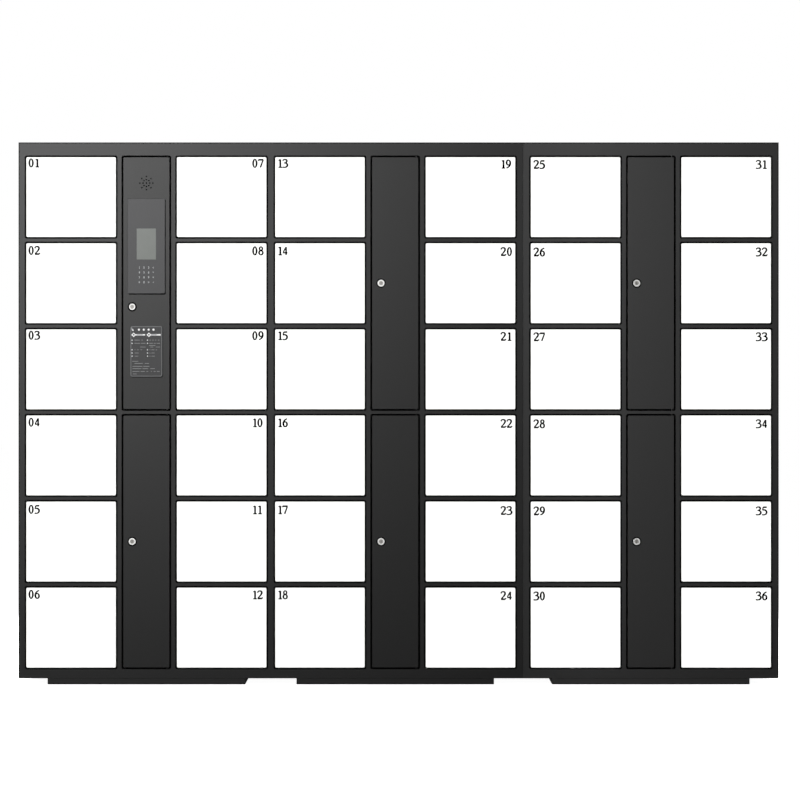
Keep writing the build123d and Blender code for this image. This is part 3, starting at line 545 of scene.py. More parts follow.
def add_dome(bm, centre, axis, radius, height):
    """A flat rounded head, such as a rivet's, sunk to half its depth."""
    turn = turn_to(axis)
    shape = Matrix.Translation(Vector(centre)) @ turn @ Matrix.Diagonal((radius, radius, height, 1.0))
    bmesh.ops.create_uvsphere(bm, u_segments=14, v_segments=8, radius=1.0, matrix=shape)


def make_piece(name, bm, material, body, smooth=True):
    """Turn a bmesh into a piece in the row frame that rides on a body."""
    bmesh.ops.recalc_face_normals(bm, faces=bm.faces)
    mesh = bpy.data.meshes.new(name)
    bm.to_mesh(mesh)
    bm.free()
    if smooth:
        mesh.shade_smooth()
        mesh.set_sharp_from_angle(angle=math.radians(35))
    mesh.materials.append(material)
    obj = bpy.data.objects.new(name, mesh)
    bpy.context.scene.collection.objects.link(obj)
    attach(obj, body)


def draw_strokes(curve, strokes, left, low, height, weight=None, ink_spread=0.0, stretch=1.0):
    """Add a numeral's strokes to a curve, in the front plane. weight overrides each stroke's width.

    ink_spread widens every stroke by one length; stretch widens the numeral about its middle.
    """
    for kind, points in strokes:
        bezier = kind != "line"
        spline = curve.splines.new("BEZIER" if bezier else "POLY")
        held = spline.bezier_points if bezier else spline.points
        held.add(len(points) - 1)
        for point, (across, up, width) in zip(held, points):
            across = NUMERAL_MIDDLE + (across - NUMERAL_MIDDLE) * stretch
            spot = (left + across * height, 0.0, low + up * height)
            point.co = spot if bezier else (*spot, 1.0)
            point.radius = ((weight or width) * height + ink_spread) / 2
            if bezier:
                point.handle_left_type = "AUTO"
                point.handle_right_type = "AUTO"
        spline.use_cyclic_u = kind == "loop"


def new_pen(name):
    """A curve that gives each stroke its point's own radius."""
    curve = bpy.data.curves.new(name, "CURVE")
    curve.dimensions = "3D"
    curve.bevel_depth = 1.0
    curve.bevel_resolution = 2
    curve.resolution_u = 4
    curve.use_fill_caps = True
    return curve


def press_flat(name, curve, front, material, body, flatness=0.05):
    """Make the strokes a mesh, press them to a film of ink and lay it on a front face."""
    drawn = bpy.data.objects.new(name + "_pen", curve)
    bpy.context.scene.collection.objects.link(drawn)
    bpy.context.view_layer.update()
    evaluated = drawn.evaluated_get(bpy.context.evaluated_depsgraph_get())
    mesh = bpy.data.meshes.new_from_object(evaluated)
    bpy.data.objects.remove(drawn)
    bpy.data.curves.remove(curve)
    bm = bmesh.new()
    bm.from_mesh(mesh)
    bpy.data.meshes.remove(mesh)
    bmesh.ops.remove_doubles(bm, verts=bm.verts, dist=1e-7)
    bmesh.ops.scale(bm, vec=(1.0, flatness, 1.0), verts=bm.verts)
    # The film's widest section stands just clear of the face
    stand = 0.9 * max(vert.co.y for vert in bm.verts)
    bmesh.ops.translate(bm, vec=(0.0, front - stand, 0.0), verts=bm.verts)
    make_piece(name, bm, material, body)


def new_sheet(x, z, back, thickness, corner, width=None):
    """A bmesh of a thin sheet with round corners, standing forward of a plane.

    With a width, only the sheet's border is made.
    """
    bm = bmesh.new()
    for px, pz in ((x[0], z[0]), (x[1], z[0]), (x[1], z[1]), (x[0], z[1])):
        bm.verts.new((px, back, pz))
    bm.faces.new(bm.verts)
    if corner:
        bmesh.ops.bevel(
            bm, geom=list(bm.verts), offset=corner, offset_type="OFFSET", segments=6,
            profile=0.5, affect="VERTICES", material=-1, clamp_overlap=True,
        )
    if width:
        middle = max(bm.faces, key=lambda face: face.calc_area())
        bmesh.ops.inset_region(
            bm, faces=[middle], thickness=width, depth=0.0, use_even_offset=True, use_boundary=True,
        )
        middle = max(bm.faces, key=lambda face: face.calc_area())
        bmesh.ops.delete(bm, geom=[middle], context="FACES_ONLY")
    lifted = bmesh.ops.extrude_face_region(bm, geom=list(bm.faces), use_keep_orig=True)
    moved = [item for item in lifted["geom"] if isinstance(item, bmesh.types.BMVert)]
    bmesh.ops.translate(bm, vec=(0.0, -thickness, 0.0), verts=moved)
    return bm


def add_washer(bm, x, z, back, inner, outer, thickness):
    """A flat ring round a front-to-back axis, standing forward of a plane."""
    front = back - thickness
    profile = [
        bm.verts.new((x + radius, depth, z))
        for radius, depth in ((inner, back), (outer, back), (outer, front), (inner, front))
    ]
    edges = [bm.edges.new((profile[i], profile[i - 1])) for i in range(4)]
    bmesh.ops.spin(
        bm, geom=profile + edges, cent=(x, back, z), axis=(0.0, 1.0, 0.0), angle=2 * math.pi,
        steps=40, use_merge=True,
    )


def place_of(door):
    """A deposit door's column and row, from the number in its name."""
    return divmod(int(door[-2:]) - 1, ROWS_OF_DOORS)


def free_edge(door, outward):
    """Where a deposit door's free edge stands across, moved outward. It is right in the even columns."""
    low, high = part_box(door)
    return high.x + outward if place_of(door)[0] % 2 == 0 else low.x - outward


class LOCKER_OT_coat_cabinet(bpy.types.Operator):
    """Powder coat on the front frames, carcass, walls and plinths"""

    bl_idname = "locker.coat_cabinet"
    bl_label = "Coat the cabinet"

    def execute(self, context):
        paint = context.scene.locker.paint
        low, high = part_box("carcass_panels")
        # Painted shade: a near-black, rough band along the cabinet's sides, top and bottom edges
        edges = either(
            beyond("X", low.x + paint.shaded_edge, "LESS_THAN"), beyond("X", high.x - paint.shaded_edge),
            beyond("Z", high.z - paint.shaded_edge), beyond("Z", paint.shaded_edge, "LESS_THAN"),
        )
        # Fine-texture epoxy-polyester, so it looks satin and nearly black
        coat = powder_coat(
            "charcoal_powder_coat", paint.frame_colour, paint.peel, paint.satin, overcoat=True,
            painted_shade_mask=edges,
        )
        for node in ("face_frames", "carcass_panels", "compartment_walls", "plinths"):
            paint_node(node, coat)
        # The frame's folded members, and the plated bolts that join the two cabinets further back
        members = powder_coat(
            # Painted shade: the members also turn near-black and rough from 6 mm behind the face, in the gaps
            # round the doors
            "charcoal_coat_and_bolts", paint.frame_colour, paint.peel, paint.satin, overcoat=True,
            metal_mask=behind(FACE_Y + 40 * MM), painted_shade_mask=either(edges, behind(FACE_Y + 6 * MM)),
        )
        paint_node("frame_members", members)
        return {"FINISHED"}


class LOCKER_OT_opening_shade_beads(bpy.types.Operator):
    """Thin black ring round each opening of the front frames: painted shade that darkens the gap line round
    each door
    """

    bl_idname = "locker.opening_beads"
    bl_label = "Paint shade round the openings"

    def execute(self, context):
        # A guess: the photo shows a black line there, and no bead can be made out in it
        width = context.scene.locker.paint.shade_bead
        out = DOOR_GAP + width
        bm = bmesh.new()
        for node in DOORS + SERVICE_DOORS:
            low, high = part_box(node)
            ring = new_sheet(
                (low.x - out, high.x + out), (low.z + PIN_BEYOND_PAN - out, high.z - PIN_BEYOND_PAN + out),
                FACE_Y + 0.6 * MM, 0.7 * MM, OPENING_RADIUS + width, width,
            )
            mesh = bpy.data.meshes.new("shade_bead")
            ring.to_mesh(mesh)
            ring.free()
            bm.from_mesh(mesh)
            bpy.data.meshes.remove(mesh)
        # Painted shade: near-black matt rings on the face darken the shadow line round each door
        rubber = moulded_plastic("black_painted_shade_bead", linear("#010101"), 0.95, gloss=0.0)
        make_piece("opening_beads", bm, rubber, "cabinet", smooth=False)
        return {"FINISHED"}


class LOCKER_OT_coat_doors(bpy.types.Operator):
    """White powder coat on the deposit doors, with bare strikers and hinge pins"""

    bl_idname = "locker.coat_doors"
    bl_label = "Coat the deposit doors"

    def execute(self, context):
        paint = context.scene.locker.paint
        low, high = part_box("door_06")
        pan_low, pan_high = low.z + PIN_BEYOND_PAN, high.z - PIN_BEYOND_PAN
        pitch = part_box("door_05")[0].z - low.z
        masks = either(behind(FACE_Y + PAN_DEPTH), outside_pan(pan_low, pan_high, pitch))
        # Smooth polyester, so it looks clean white with a soft gloss; the bare steel is blackened
        white = powder_coat(
            "white_powder_coat", paint.door_colour, paint.peel, 0.42, 0.2, metal_mask=masks,
            plating="#2A2B2C",
        )
        for node in DOORS:
            paint_node(node, white)
        return {"FINISHED"}


class LOCKER_OT_coat_service_doors(bpy.types.Operator):
    """Charcoal coat on the service doors, with plated cam locks"""

    bl_idname = "locker.coat_service_doors"
    bl_label = "Coat the service doors"

    def execute(self, context):
        paint = context.scene.locker.paint
        for node in SERVICE_DOORS:
            plug = node.replace("service_door", "lock_plug")
            low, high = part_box(plug)
            centre = ((low.x + high.x) / 2, high.z - PLUG_RISE)
            # The control door's lock has the smaller polished face
            polished = CONTROL_POLISHED_RADIUS if node == CONTROL_BODY else POLISHED_RADIUS
            masks = lock_mask(
                centre, FACE_Y - FACE_TOLERANCE, FACE_Y + SERVICE_SHEET + FACE_TOLERANCE,
                polished, NUT_RADIUS, LOCK_HOLE_RADIUS,
            )
            # Satin nickel on the lock, so it stays bright away from the key light too
            coat = powder_coat(
                "service_coat" + node.removeprefix("service_door"), paint.service_colour,
                paint.peel, paint.satin, overcoat=True, metal_mask=masks, plating="#DADAD8", frost=0.4,
            )
            paint_node(node, coat)
            self.ring(node, centre, context.scene.locker.panel.lock_ring)
        # Nickel-plated brass plug, greyer than the head where the key has rubbed it
        nickel = plated_metal("nickel_plated_lock", linear("#9E9C98"), 0.4, frost=0.25)
        for node in LOCK_PLUGS:
            paint_node(node, nickel)
        return {"FINISHED"}

    def ring(self, node, centre, width):
        """Black ring under a lock's head, against the door's face: painted shade round the head."""
        bm = bmesh.new()
        add_washer(bm, centre[0], centre[1], FACE_Y, HEAD_RADIUS, HEAD_RADIUS + width, 0.5 * MM)
        rubber = moulded_plastic("lock_ring_rubber", linear("#010101"), 0.9, gloss=0.0)
        make_piece("lock_ring" + node.removeprefix("service_door"), bm, rubber, node)


class LOCKER_OT_finish_locks(bpy.types.Operator):
    """Electric locks, their bolts and their cover screws"""

    bl_idname = "locker.finish_locks"
    bl_label = "Finish the electric locks"

    def execute(self, context):
        # Glass-filled nylon, so it looks dull black with a fine sparkle in its texture
        paint_node("electric_locks", moulded_plastic("nylon_lock_case", linear("#1E1F20"), 0.55))
        # Ground steel bolts, so they look bright and slightly brushed
        paint_node("lock_bolts", plated_metal("ground_steel_bolt", linear("#C6C6C4"), 0.3, 0.1))
        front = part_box("electric_locks")[0].y
        bm = bmesh.new()
        for node in DOORS:
            low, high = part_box(node)
            across = free_edge(node, -10 * MM)
            middle = (low.z + high.z) / 2
            for rise in (-26 * MM, 26 * MM):
                add_dome(bm, (across, front, middle + rise), FORWARD, 2.9 * MM, 1.3 * MM)
        screws = plated_metal("zinc_plated_screw", linear("#B9BABB"), 0.36)
        make_piece("lock_cover_screws", bm, screws, "cabinet")
        return {"FINISHED"}


class LOCKER_OT_door_buffers(bpy.types.Operator):
    """Rubber buffers on the stop strips, two behind each deposit door's free edge"""

    bl_idname = "locker.door_buffers"
    bl_label = "Fit the door buffers"

    def execute(self, context):
        rear = FACE_Y + STOP_DEPTH
        bm = bmesh.new()
        for node in DOORS:
            low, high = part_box(node)
            across = free_edge(node, 0.6 * MM)
            middle = (low.z + high.z) / 2
            for rise in (-96 * MM, 96 * MM):
                add_block(
                    bm, (across - 2.2 * MM, rear - 2.4 * MM, middle + rise - 8 * MM),
                    (across + 2.2 * MM, rear + 0.3 * MM, middle + rise + 8 * MM), 0.8 * MM,
                )
        # Soft rubber, so it looks matt and slightly grey
        rubber = moulded_plastic("rubber_buffer", linear("#2A2A2B"), 0.8)
        make_piece("door_buffers", bm, rubber, "cabinet")
        return {"FINISHED"}


class LOCKER_OT_door_numbers(bpy.types.Operator):
    """Printed numbers in the outer top corner of each deposit door"""

    bl_idname = "locker.door_numbers"
    bl_label = "Print the door numbers"

    def execute(self, context):
        numbers = context.scene.locker.numbers
        # Matt ink, so it stays black where the satin coat beside it catches the light
        ink = printed_ink("black_number_ink", numbers.ink, gloss=0.0)
        for node in DOORS:
            low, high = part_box(node)
            digits = node[-2:]
            column, row = place_of(node)
            block = numbers.pitch + NUMERAL_WIDTH * numbers.height
            if column % 2 == 0:
                start = low.x + numbers.side_inset
            else:
                start = high.x - numbers.side_inset - block
            rightwards, down = COLUMN_SHIFTS[column]
            start += rightwards * MM
            top = high.z - PIN_BEYOND_PAN - numbers.top_inset - (down + ROW_DROPS[row]) * MM
            pen = new_pen("number_" + digits)
            for digit in digits:
                draw_strokes(
                    pen, NUMERALS[digit], start, top - numbers.height, numbers.height,
                    ink_spread=numbers.ink_spread, stretch=PRINTED_WIDTHS[digit],
                )
                start += numbers.pitch_after_one if digit == "1" else numbers.pitch
            press_flat("number_" + digits, pen, FACE_Y, ink, node)
        return {"FINISHED"}


class LOCKER_OT_control_panel(bpy.types.Operator):
    """Fascia, display and keypad printing on the control door"""

    bl_idname = "locker.control_panel"
    bl_label = "Finish the control panel"

    def execute(self, context):
        panel = context.scene.locker.panel
        # Moulded ABS, one shade lighter than the door
        paint_node("control_fascia", moulded_plastic("abs_fascia", linear("#242426"), 0.37))
        paint_node("display_window", self.display_pane())
        low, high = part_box("control_fascia")
        pane_low, pane_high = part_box("display_window")
        # Painted highlight: a lighter grey border round the screen stands for the light on the window's bevel
        border = printed_ink("grey_painted_border_highlight", linear("#6A6C6A"))
        bm = new_sheet(
            (pane_low.x, pane_high.x), (pane_low.z, pane_high.z), pane_low.y, FILM, 0.0, panel.border,
        )
        make_piece("display_border_highlight", bm, border, CONTROL_BODY, smooth=False)
        # Painted shadow: a black sheet between the fascia and the door, seen below it and on its right where
        # its shadow falls
        bm = new_sheet(
            (low.x + 2 * MM, high.x + 0.6 * panel.shadow_seal),
            (low.z - panel.shadow_seal, high.z - 2 * MM), FACE_Y, 1.2 * MM, 5 * MM,
        )
        shadow_seal = moulded_plastic("painted_shadow_sheet", linear("#030303"), 0.9)
        make_piece("fascia_shadow_seal", bm, shadow_seal, CONTROL_BODY)
        plate_low, plate_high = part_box("instruction_plate")
        # Painted shadow: the same black sheet below and to the right of the instruction plate
        bm = new_sheet(
            (plate_low.x + 2 * MM, plate_high.x + 0.6 * panel.shadow_seal),
            (plate_low.z - 0.7 * panel.shadow_seal, plate_high.z - 2 * MM), FACE_Y, 0.4 * MM, 6 * MM,
        )
        make_piece("plate_shadow_seal", bm, shadow_seal, CONTROL_BODY)
        self.speaker_cloth(low, high)
        marks = printed_ink("light_grey_key_print", linear("#A6A8AA"))
        pen = new_pen("keypad_marks")
        middle_x = (low.x + high.x) / 2
        middle_z = low.z + panel.keypad_rise
        for row, keys in enumerate(KEYPAD_ROWS):
            for column, key in enumerate(keys):
                left = middle_x + (column - 1.5) * panel.key_pitch_x - 0.3 * panel.key_height
                foot = middle_z + (1.5 - row) * panel.key_pitch_z - panel.key_height / 2
                strokes = NUMERALS.get(key) or KEY_MARKS[key]
                draw_strokes(pen, strokes, left, foot, panel.key_height, KEY_STROKE)
        press_flat("keypad_marks", pen, low.y, marks, CONTROL_BODY, 0.1)
        return {"FINISHED"}

    def speaker_cloth(self, low, high):
        """Black cloth behind the speaker's holes, and a dark ring round each as painted shade: one in the
        middle and two rings of eight.
        """
        middle = (low.x + high.x) / 2
        spots = [(middle, SPEAKER_Z)]
        for ring in SPEAKER_RINGS:
            for step in range(HOLES_IN_RING):
                turn = math.radians(360 / HOLES_IN_RING * step)
                spots.append((middle + ring * math.cos(turn), SPEAKER_Z + ring * math.sin(turn)))
        cloth, shade_rims = bmesh.new(), bmesh.new()
        for x, z in spots:
            add_disc(cloth, x, z, FACE_Y + SERVICE_SHEET, 1.75 * MM, 0.3 * MM, 12)
            # Painted shade: a black ring on the face round each hole
            add_washer(shade_rims, x, z, FACE_Y, 1.85 * MM, 2.5 * MM, 0.1 * MM)
        black = moulded_plastic("speaker_cloth_and_painted_shade", linear("#010101"), 0.95, gloss=0.0)
        make_piece("speaker_cloth", cloth, black, CONTROL_BODY, smooth=False)
        make_piece("speaker_shade_rims", shade_rims, black, CONTROL_BODY, smooth=False)

    def display_pane(self):
        """Hard-coated acrylic over an unlit liquid crystal panel: grey-green, with a glossy skin."""
        material, tree, shader, place = new_material("unlit_display")
        cells = grain(tree, place, 0.02, 2.0)
        tone = blend_colours(tree, cells, linear("#525652"), linear("#575B57"))
        tree.links.new(tone, shader.inputs["Base Color"])
        shader.inputs["Roughness"].default_value = 0.37
        shader.inputs["Coat Weight"].default_value = 0.2
        shader.inputs["Coat Roughness"].default_value = 0.15
        return material


class LOCKER_OT_instruction_plate(bpy.types.Operator):
    """Generic printing on the instruction plate: dots, bars, bullets and plain lines"""

    bl_idname = "locker.instruction_plate"
    bl_label = "Print the instruction plate"

    def execute(self, context):
        panel = context.scene.locker.panel
        # Anodised sheet with a matt dark print ground
        paint_node("instruction_plate", moulded_plastic("dark_plate_ground", linear("#1A1A1C"), 0.37, 0.001))
        low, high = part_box("instruction_plate")
        front, self.left, self.top = low.y, low.x, high.z
        white = printed_ink("white_plate_print", linear("#D0D0D0"))
        grey = printed_ink("grey_plate_print", linear("#767778"))

        bm = bmesh.new()
        drop, across = PLATE_HEAD_DOTS
        self.dots(bm, drop, across, front, 3.5, 20)
        bar_drop, bars = PLATE_BARS
        self.bars(bm, bar_drop, bars, front, 2.3)
        for start in PLATE_DIAMONDS:
            centre = Vector((self.left + start * MM, front - FILM, self.top - bar_drop * MM))
            bmesh.ops.create_cone(
                bm, cap_ends=True, cap_tris=False, segments=4, radius1=7.6 * MM, radius2=7.6 * MM,
                depth=FILM, matrix=Matrix.Translation(centre) @ Matrix.Rotation(math.radians(90), 4, "X"),
            )
        self.lay("plate_white_print", bm, white)

        bm = bmesh.new()
        drops, across = PLATE_BULLETS
        for drop in drops:
            self.dots(bm, drop, across, front, 1.9, 16)
        bullets = printed_ink("pale_plate_print", linear("#C2C4C5"))
        self.lay("plate_bullets", bm, bullets)

        bm = bmesh.new()
        for drop, runs in PLATE_NOTES:
            self.bars(bm, drop, runs, front, 0.8)
        self.lay("plate_grey_print", bm, grey)
        bm = new_sheet(
            (low.x + 0.3 * MM, high.x - 0.3 * MM), (low.z + 0.3 * MM, high.z - 0.3 * MM),
            front, FILM, 6.0 * MM, panel.outline,
        )
        self.lay("plate_outline", bm, printed_ink("plate_outline_print", linear("#58595A")))
        corner = (("upper", grey, PLATE_CORNER_MARK[:2]), ("lower", bullets, PLATE_CORNER_MARK[1:]))
        for part, ink, strokes in corner:
            pen = new_pen("plate_corner_" + part)
            line = [("line", [(x, -y, width) for x, y, width in strokes])]
            draw_strokes(pen, line, self.left, self.top, MM)
            press_flat("plate_corner_" + part, pen, front, ink, CONTROL_BODY, 0.04)

        # A second layer, over the white print
        bm = bmesh.new()
        self.dots(bm, bar_drop, PLATE_DIAMONDS, front - FILM, 2.7, 12)
        self.lay("plate_diamond_centres", bm, printed_ink("dark_plate_print", linear("#060606"), gloss=0.0))
        bm = bmesh.new()
        self.bars(bm, bar_drop, PLATE_BAR_NOTES, front - FILM, 1.1)
        self.lay("plate_bar_print", bm, printed_ink("grey_bar_print", linear("#6C6A70")))
        return {"FINISHED"}

    def dots(self, bm, drop, across, back, radius, sides):
        """Round dots at one drop from the plate's top, all in mm."""
        for start in across:
            add_disc(bm, self.left + start * MM, self.top - drop * MM, back, radius * MM, FILM, sides)

    def bars(self, bm, drop, runs, back, half):
        """Flat bars from start to end at one drop from the plate's top, all in mm."""
        for start, end in runs:
            add_block(
                bm, (self.left + start * MM, back - FILM, self.top - (drop + half) * MM),
                (self.left + end * MM, back, self.top - (drop - half) * MM),
            )

    def lay(self, name, bm, ink):
        """Make a print a flat piece on the plate."""
        make_piece(name, bm, ink, CONTROL_BODY, smooth=False)


class LOCKER_OT_equip_service_columns(bpy.types.Operator):
    """Finishes and fittings of the boards, power supply, battery and inlet"""

    bl_idname = "locker.equip_service_columns"
    bl_label = "Finish the equipment"

    def execute(self, context):
        self.power_equipment()
        self.control_board()
        # Natural nylon headers, so they look ivory against the cases
        self.ivory = moulded_plastic("nylon_header", linear("#D6D2C4"), 0.5)
        self.black = moulded_plastic("black_component", linear("#151516"), 0.5)
        self.zinc = plated_metal("zinc_case_screw", linear("#B9BABB"), 0.36)
        self.supply_fittings()
        self.battery_fittings()
        self.lock_board_fittings()
        self.control_board_fittings()
        return {"FINISHED"}

    def supply_fittings(self):
        """Terminal strip, its screws and the vent slots on the power supply's front."""
        middle = self.column_middle("a")
        front = BACK_Y - PANEL_SHEET - SUPPLY_DEPTH
        strip, screws, slots = bmesh.new(), bmesh.new(), bmesh.new()
        add_block(
            strip, (middle - 47 * MM, front - 11 * MM, SUPPLY_Z + 5 * MM),
            (middle + 47 * MM, front, SUPPLY_Z + 21 * MM), 1.0 * MM,
        )
        for step in range(-4, 5):
            spot = (middle + step * 10 * MM, front - 11 * MM, SUPPLY_Z + 13 * MM)
            add_dome(screws, spot, FORWARD, 3 * MM, 1 * MM)
        for across in (-49 * MM, 49 * MM):
            for rise in (35 * MM, 194 * MM):
                add_dome(screws, (middle + across, front, SUPPLY_Z + rise), FORWARD, *CASE_SCREW)
        for step in range(14):
            foot = SUPPLY_Z + (50 + step * 9) * MM
            add_block(
                slots, (middle - 38 * MM, front - 0.3 * MM, foot), (middle + 38 * MM, front, foot + 3 * MM),
            )
        make_piece("supply_terminals", strip, self.black, "cabinet")
        make_piece("supply_screws", screws, self.zinc, "cabinet")
        make_piece("supply_vents", slots, self.black, "cabinet", smooth=False)

    def battery_fittings(self):
        """Two covered terminals on the battery's top."""
        middle = self.column_middle("a")
        for name, across, colour in (("positive", -28 * MM, "#8E1B17"), ("negative", 28 * MM, "#141415")):
            bm = bmesh.new()
            add_block(
                bm, (middle + across - 9 * MM, BATTERY_FRONT + 8 * MM, BATTERY_TOP),
                (middle + across + 9 * MM, BATTERY_FRONT + 30 * MM, BATTERY_TOP + 9 * MM), 2.0 * MM, 3,
            )
            cover = moulded_plastic(name + "_terminal_cover", linear(colour), 0.5)
            make_piece("battery_" + name, bm, cover, "cabinet")

    def lock_board_fittings(self):
        """Plug headers, a chip and four screws on each lock board's cover."""
        front = BACK_Y - PANEL_SHEET - LOCK_BOARD_DEPTH
        headers, chips, screws = bmesh.new(), bmesh.new(), bmesh.new()
        for letter in "abc":
            middle = self.column_middle(letter)
            for across in (-44 * MM, 44 * MM):
                for step in range(6):
                    low = LOCK_BOARD_Z + (22 + step * 31) * MM
                    add_block(
                        headers, (middle + across - 6 * MM, front - 9 * MM, low),
                        (middle + across + 6 * MM, front, low + 20 * MM), 0.8 * MM,
                    )
                for rise in (8 * MM, 212 * MM):
                    add_dome(screws, (middle + across, front, LOCK_BOARD_Z + rise), FORWARD, *CASE_SCREW)
            add_block(
                chips, (middle - 14 * MM, front - 2.4 * MM, LOCK_BOARD_Z + 96 * MM),
                (middle + 14 * MM, front, LOCK_BOARD_Z + 124 * MM), 0.5 * MM,
            )
        make_piece("lock_board_headers", headers, self.ivory, "cabinet")
        make_piece("lock_board_chips", chips, self.black, "cabinet")
        make_piece("lock_board_screws", screws, self.zinc, "cabinet")

    def control_board_fittings(self):
        """Chips and plug headers on the rear of the control board."""
        low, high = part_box("control_fascia")
        middle = (low.x + high.x) / 2
        rear = FACE_Y + BOARD_REAR
        chips, headers = bmesh.new(), bmesh.new()
        for across, rise, half_x, half_z, height in BOARD_PARTS:
            add_block(
                chips, (middle + (across - half_x) * MM, rear, low.z + (rise - half_z) * MM),
                (middle + (across + half_x) * MM, rear + height * MM, low.z + (rise + half_z) * MM), 0.5 * MM,
            )
        for step in range(5):
            left = middle + (step * 20 - 47) * MM
            add_block(
                headers, (left, rear, low.z + 22 * MM),
                (left + 14 * MM, rear + 9 * MM, low.z + 30 * MM), 0.8 * MM,
            )
        make_piece("control_board_chips", chips, self.black, CONTROL_BODY)
        make_piece("control_board_headers", headers, self.ivory, CONTROL_BODY)

    def column_middle(self, letter):
        """The middle of a service column, from its upper door."""
        low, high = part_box("service_door_" + letter + "_upper")
        return (low.x + high.x) / 2

    def power_equipment(self):
        """Aluminium cases above, black plastic battery and rubber inlet ring below."""
        material, tree, shader, place = new_material("aluminium_cases_and_battery")
        # The battery and the inlet lie below 200 mm, and the cases above
        case = calculate(tree, "GREATER_THAN", along(tree, place, "Z"), 200 * MM)
        streaks = add_node(tree, "ShaderNodeMapping", {"Vector": place, "Scale": (20.0, 20.0, 1.0)})
        brushed = grain(tree, streaks.outputs[0], 0.02, 3.0)
        metal = blend_colours(tree, brushed, linear("#A9ABAD"), linear("#C4C6C7"))
        tree.links.new(blend_colours(tree, case, linear("#1B1C1D"), metal), shader.inputs["Base Color"])
        tree.links.new(blend_values(tree, case, 0.55, 0.38), shader.inputs["Roughness"])
        tree.links.new(case, shader.inputs["Metallic"])
        bump(tree, shader, brushed, 0.1, 0.00004)
        paint_node("power_equipment", material)

    def control_board(self):
        """Green glass-epoxy board below, dark speaker above."""
        material, tree, shader, place = new_material("circuit_board_and_speaker")
        # The board ends below 1620 mm, and the speaker stands above
        speaker = calculate(tree, "GREATER_THAN", along(tree, place, "Z"), 1620 * MM)
        upright = add_node(
            tree, "ShaderNodeMapping", {"Vector": place, "Rotation": (math.radians(90), 0.0, 0.0)},
        )
        tracks = add_node(tree, "ShaderNodeTexBrick", {
            "Vector": upright.outputs[0],
            "Color1": linear("#1F5A34"), "Color2": linear("#256B3D"), "Mortar": linear("#184A2A"),
            "Scale": 60.0,
        }).outputs["Color"]
        tree.links.new(blend_colours(tree, speaker, tracks, linear("#030303")), shader.inputs["Base Color"])
        tree.links.new(blend_values(tree, speaker, 0.35, 0.95), shader.inputs["Roughness"])
        paint_node("control_unit", material)


class LOCKER_OT_back_rivets(bpy.types.Operator):
    """Blind rivets round the edges of the three back sheets"""

    bl_idname = "locker.back_rivets"
    bl_label = "Rivet the back"

    def execute(self, context):
        low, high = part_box("carcass_panels")
        middles = ((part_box("door_07")[1].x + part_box("door_13")[0].x) / 2, SEAM_X)
        edges = (low.x, middles[0], middles[1], high.x)
        bm = bmesh.new()
        for left, right in zip(edges, edges[1:]):
            across = (left + 9 * MM, right - 9 * MM)
            heights = (low.z + 9 * MM, high.z - 9 * MM)
            spots = []
            for step in range(10):
                up = heights[0] + (heights[1] - heights[0]) * step / 9
                spots += [(x, BACK_Y, up) for x in across]
            for step in range(1, 5):
                x = across[0] + (across[1] - across[0]) * step / 5
                spots += [(x, BACK_Y, up) for up in heights]
            for spot in spots:
                add_dome(bm, spot, REARWARD, 3.2 * MM, 1.2 * MM)
        # Aluminium blind rivets with a dark coat, as fitted before painting
        rivets = plated_metal("coated_rivet", linear("#4A4B4D"), 0.5)
        make_piece("back_rivets", bm, rivets, "cabinet")
        return {"FINISHED"}


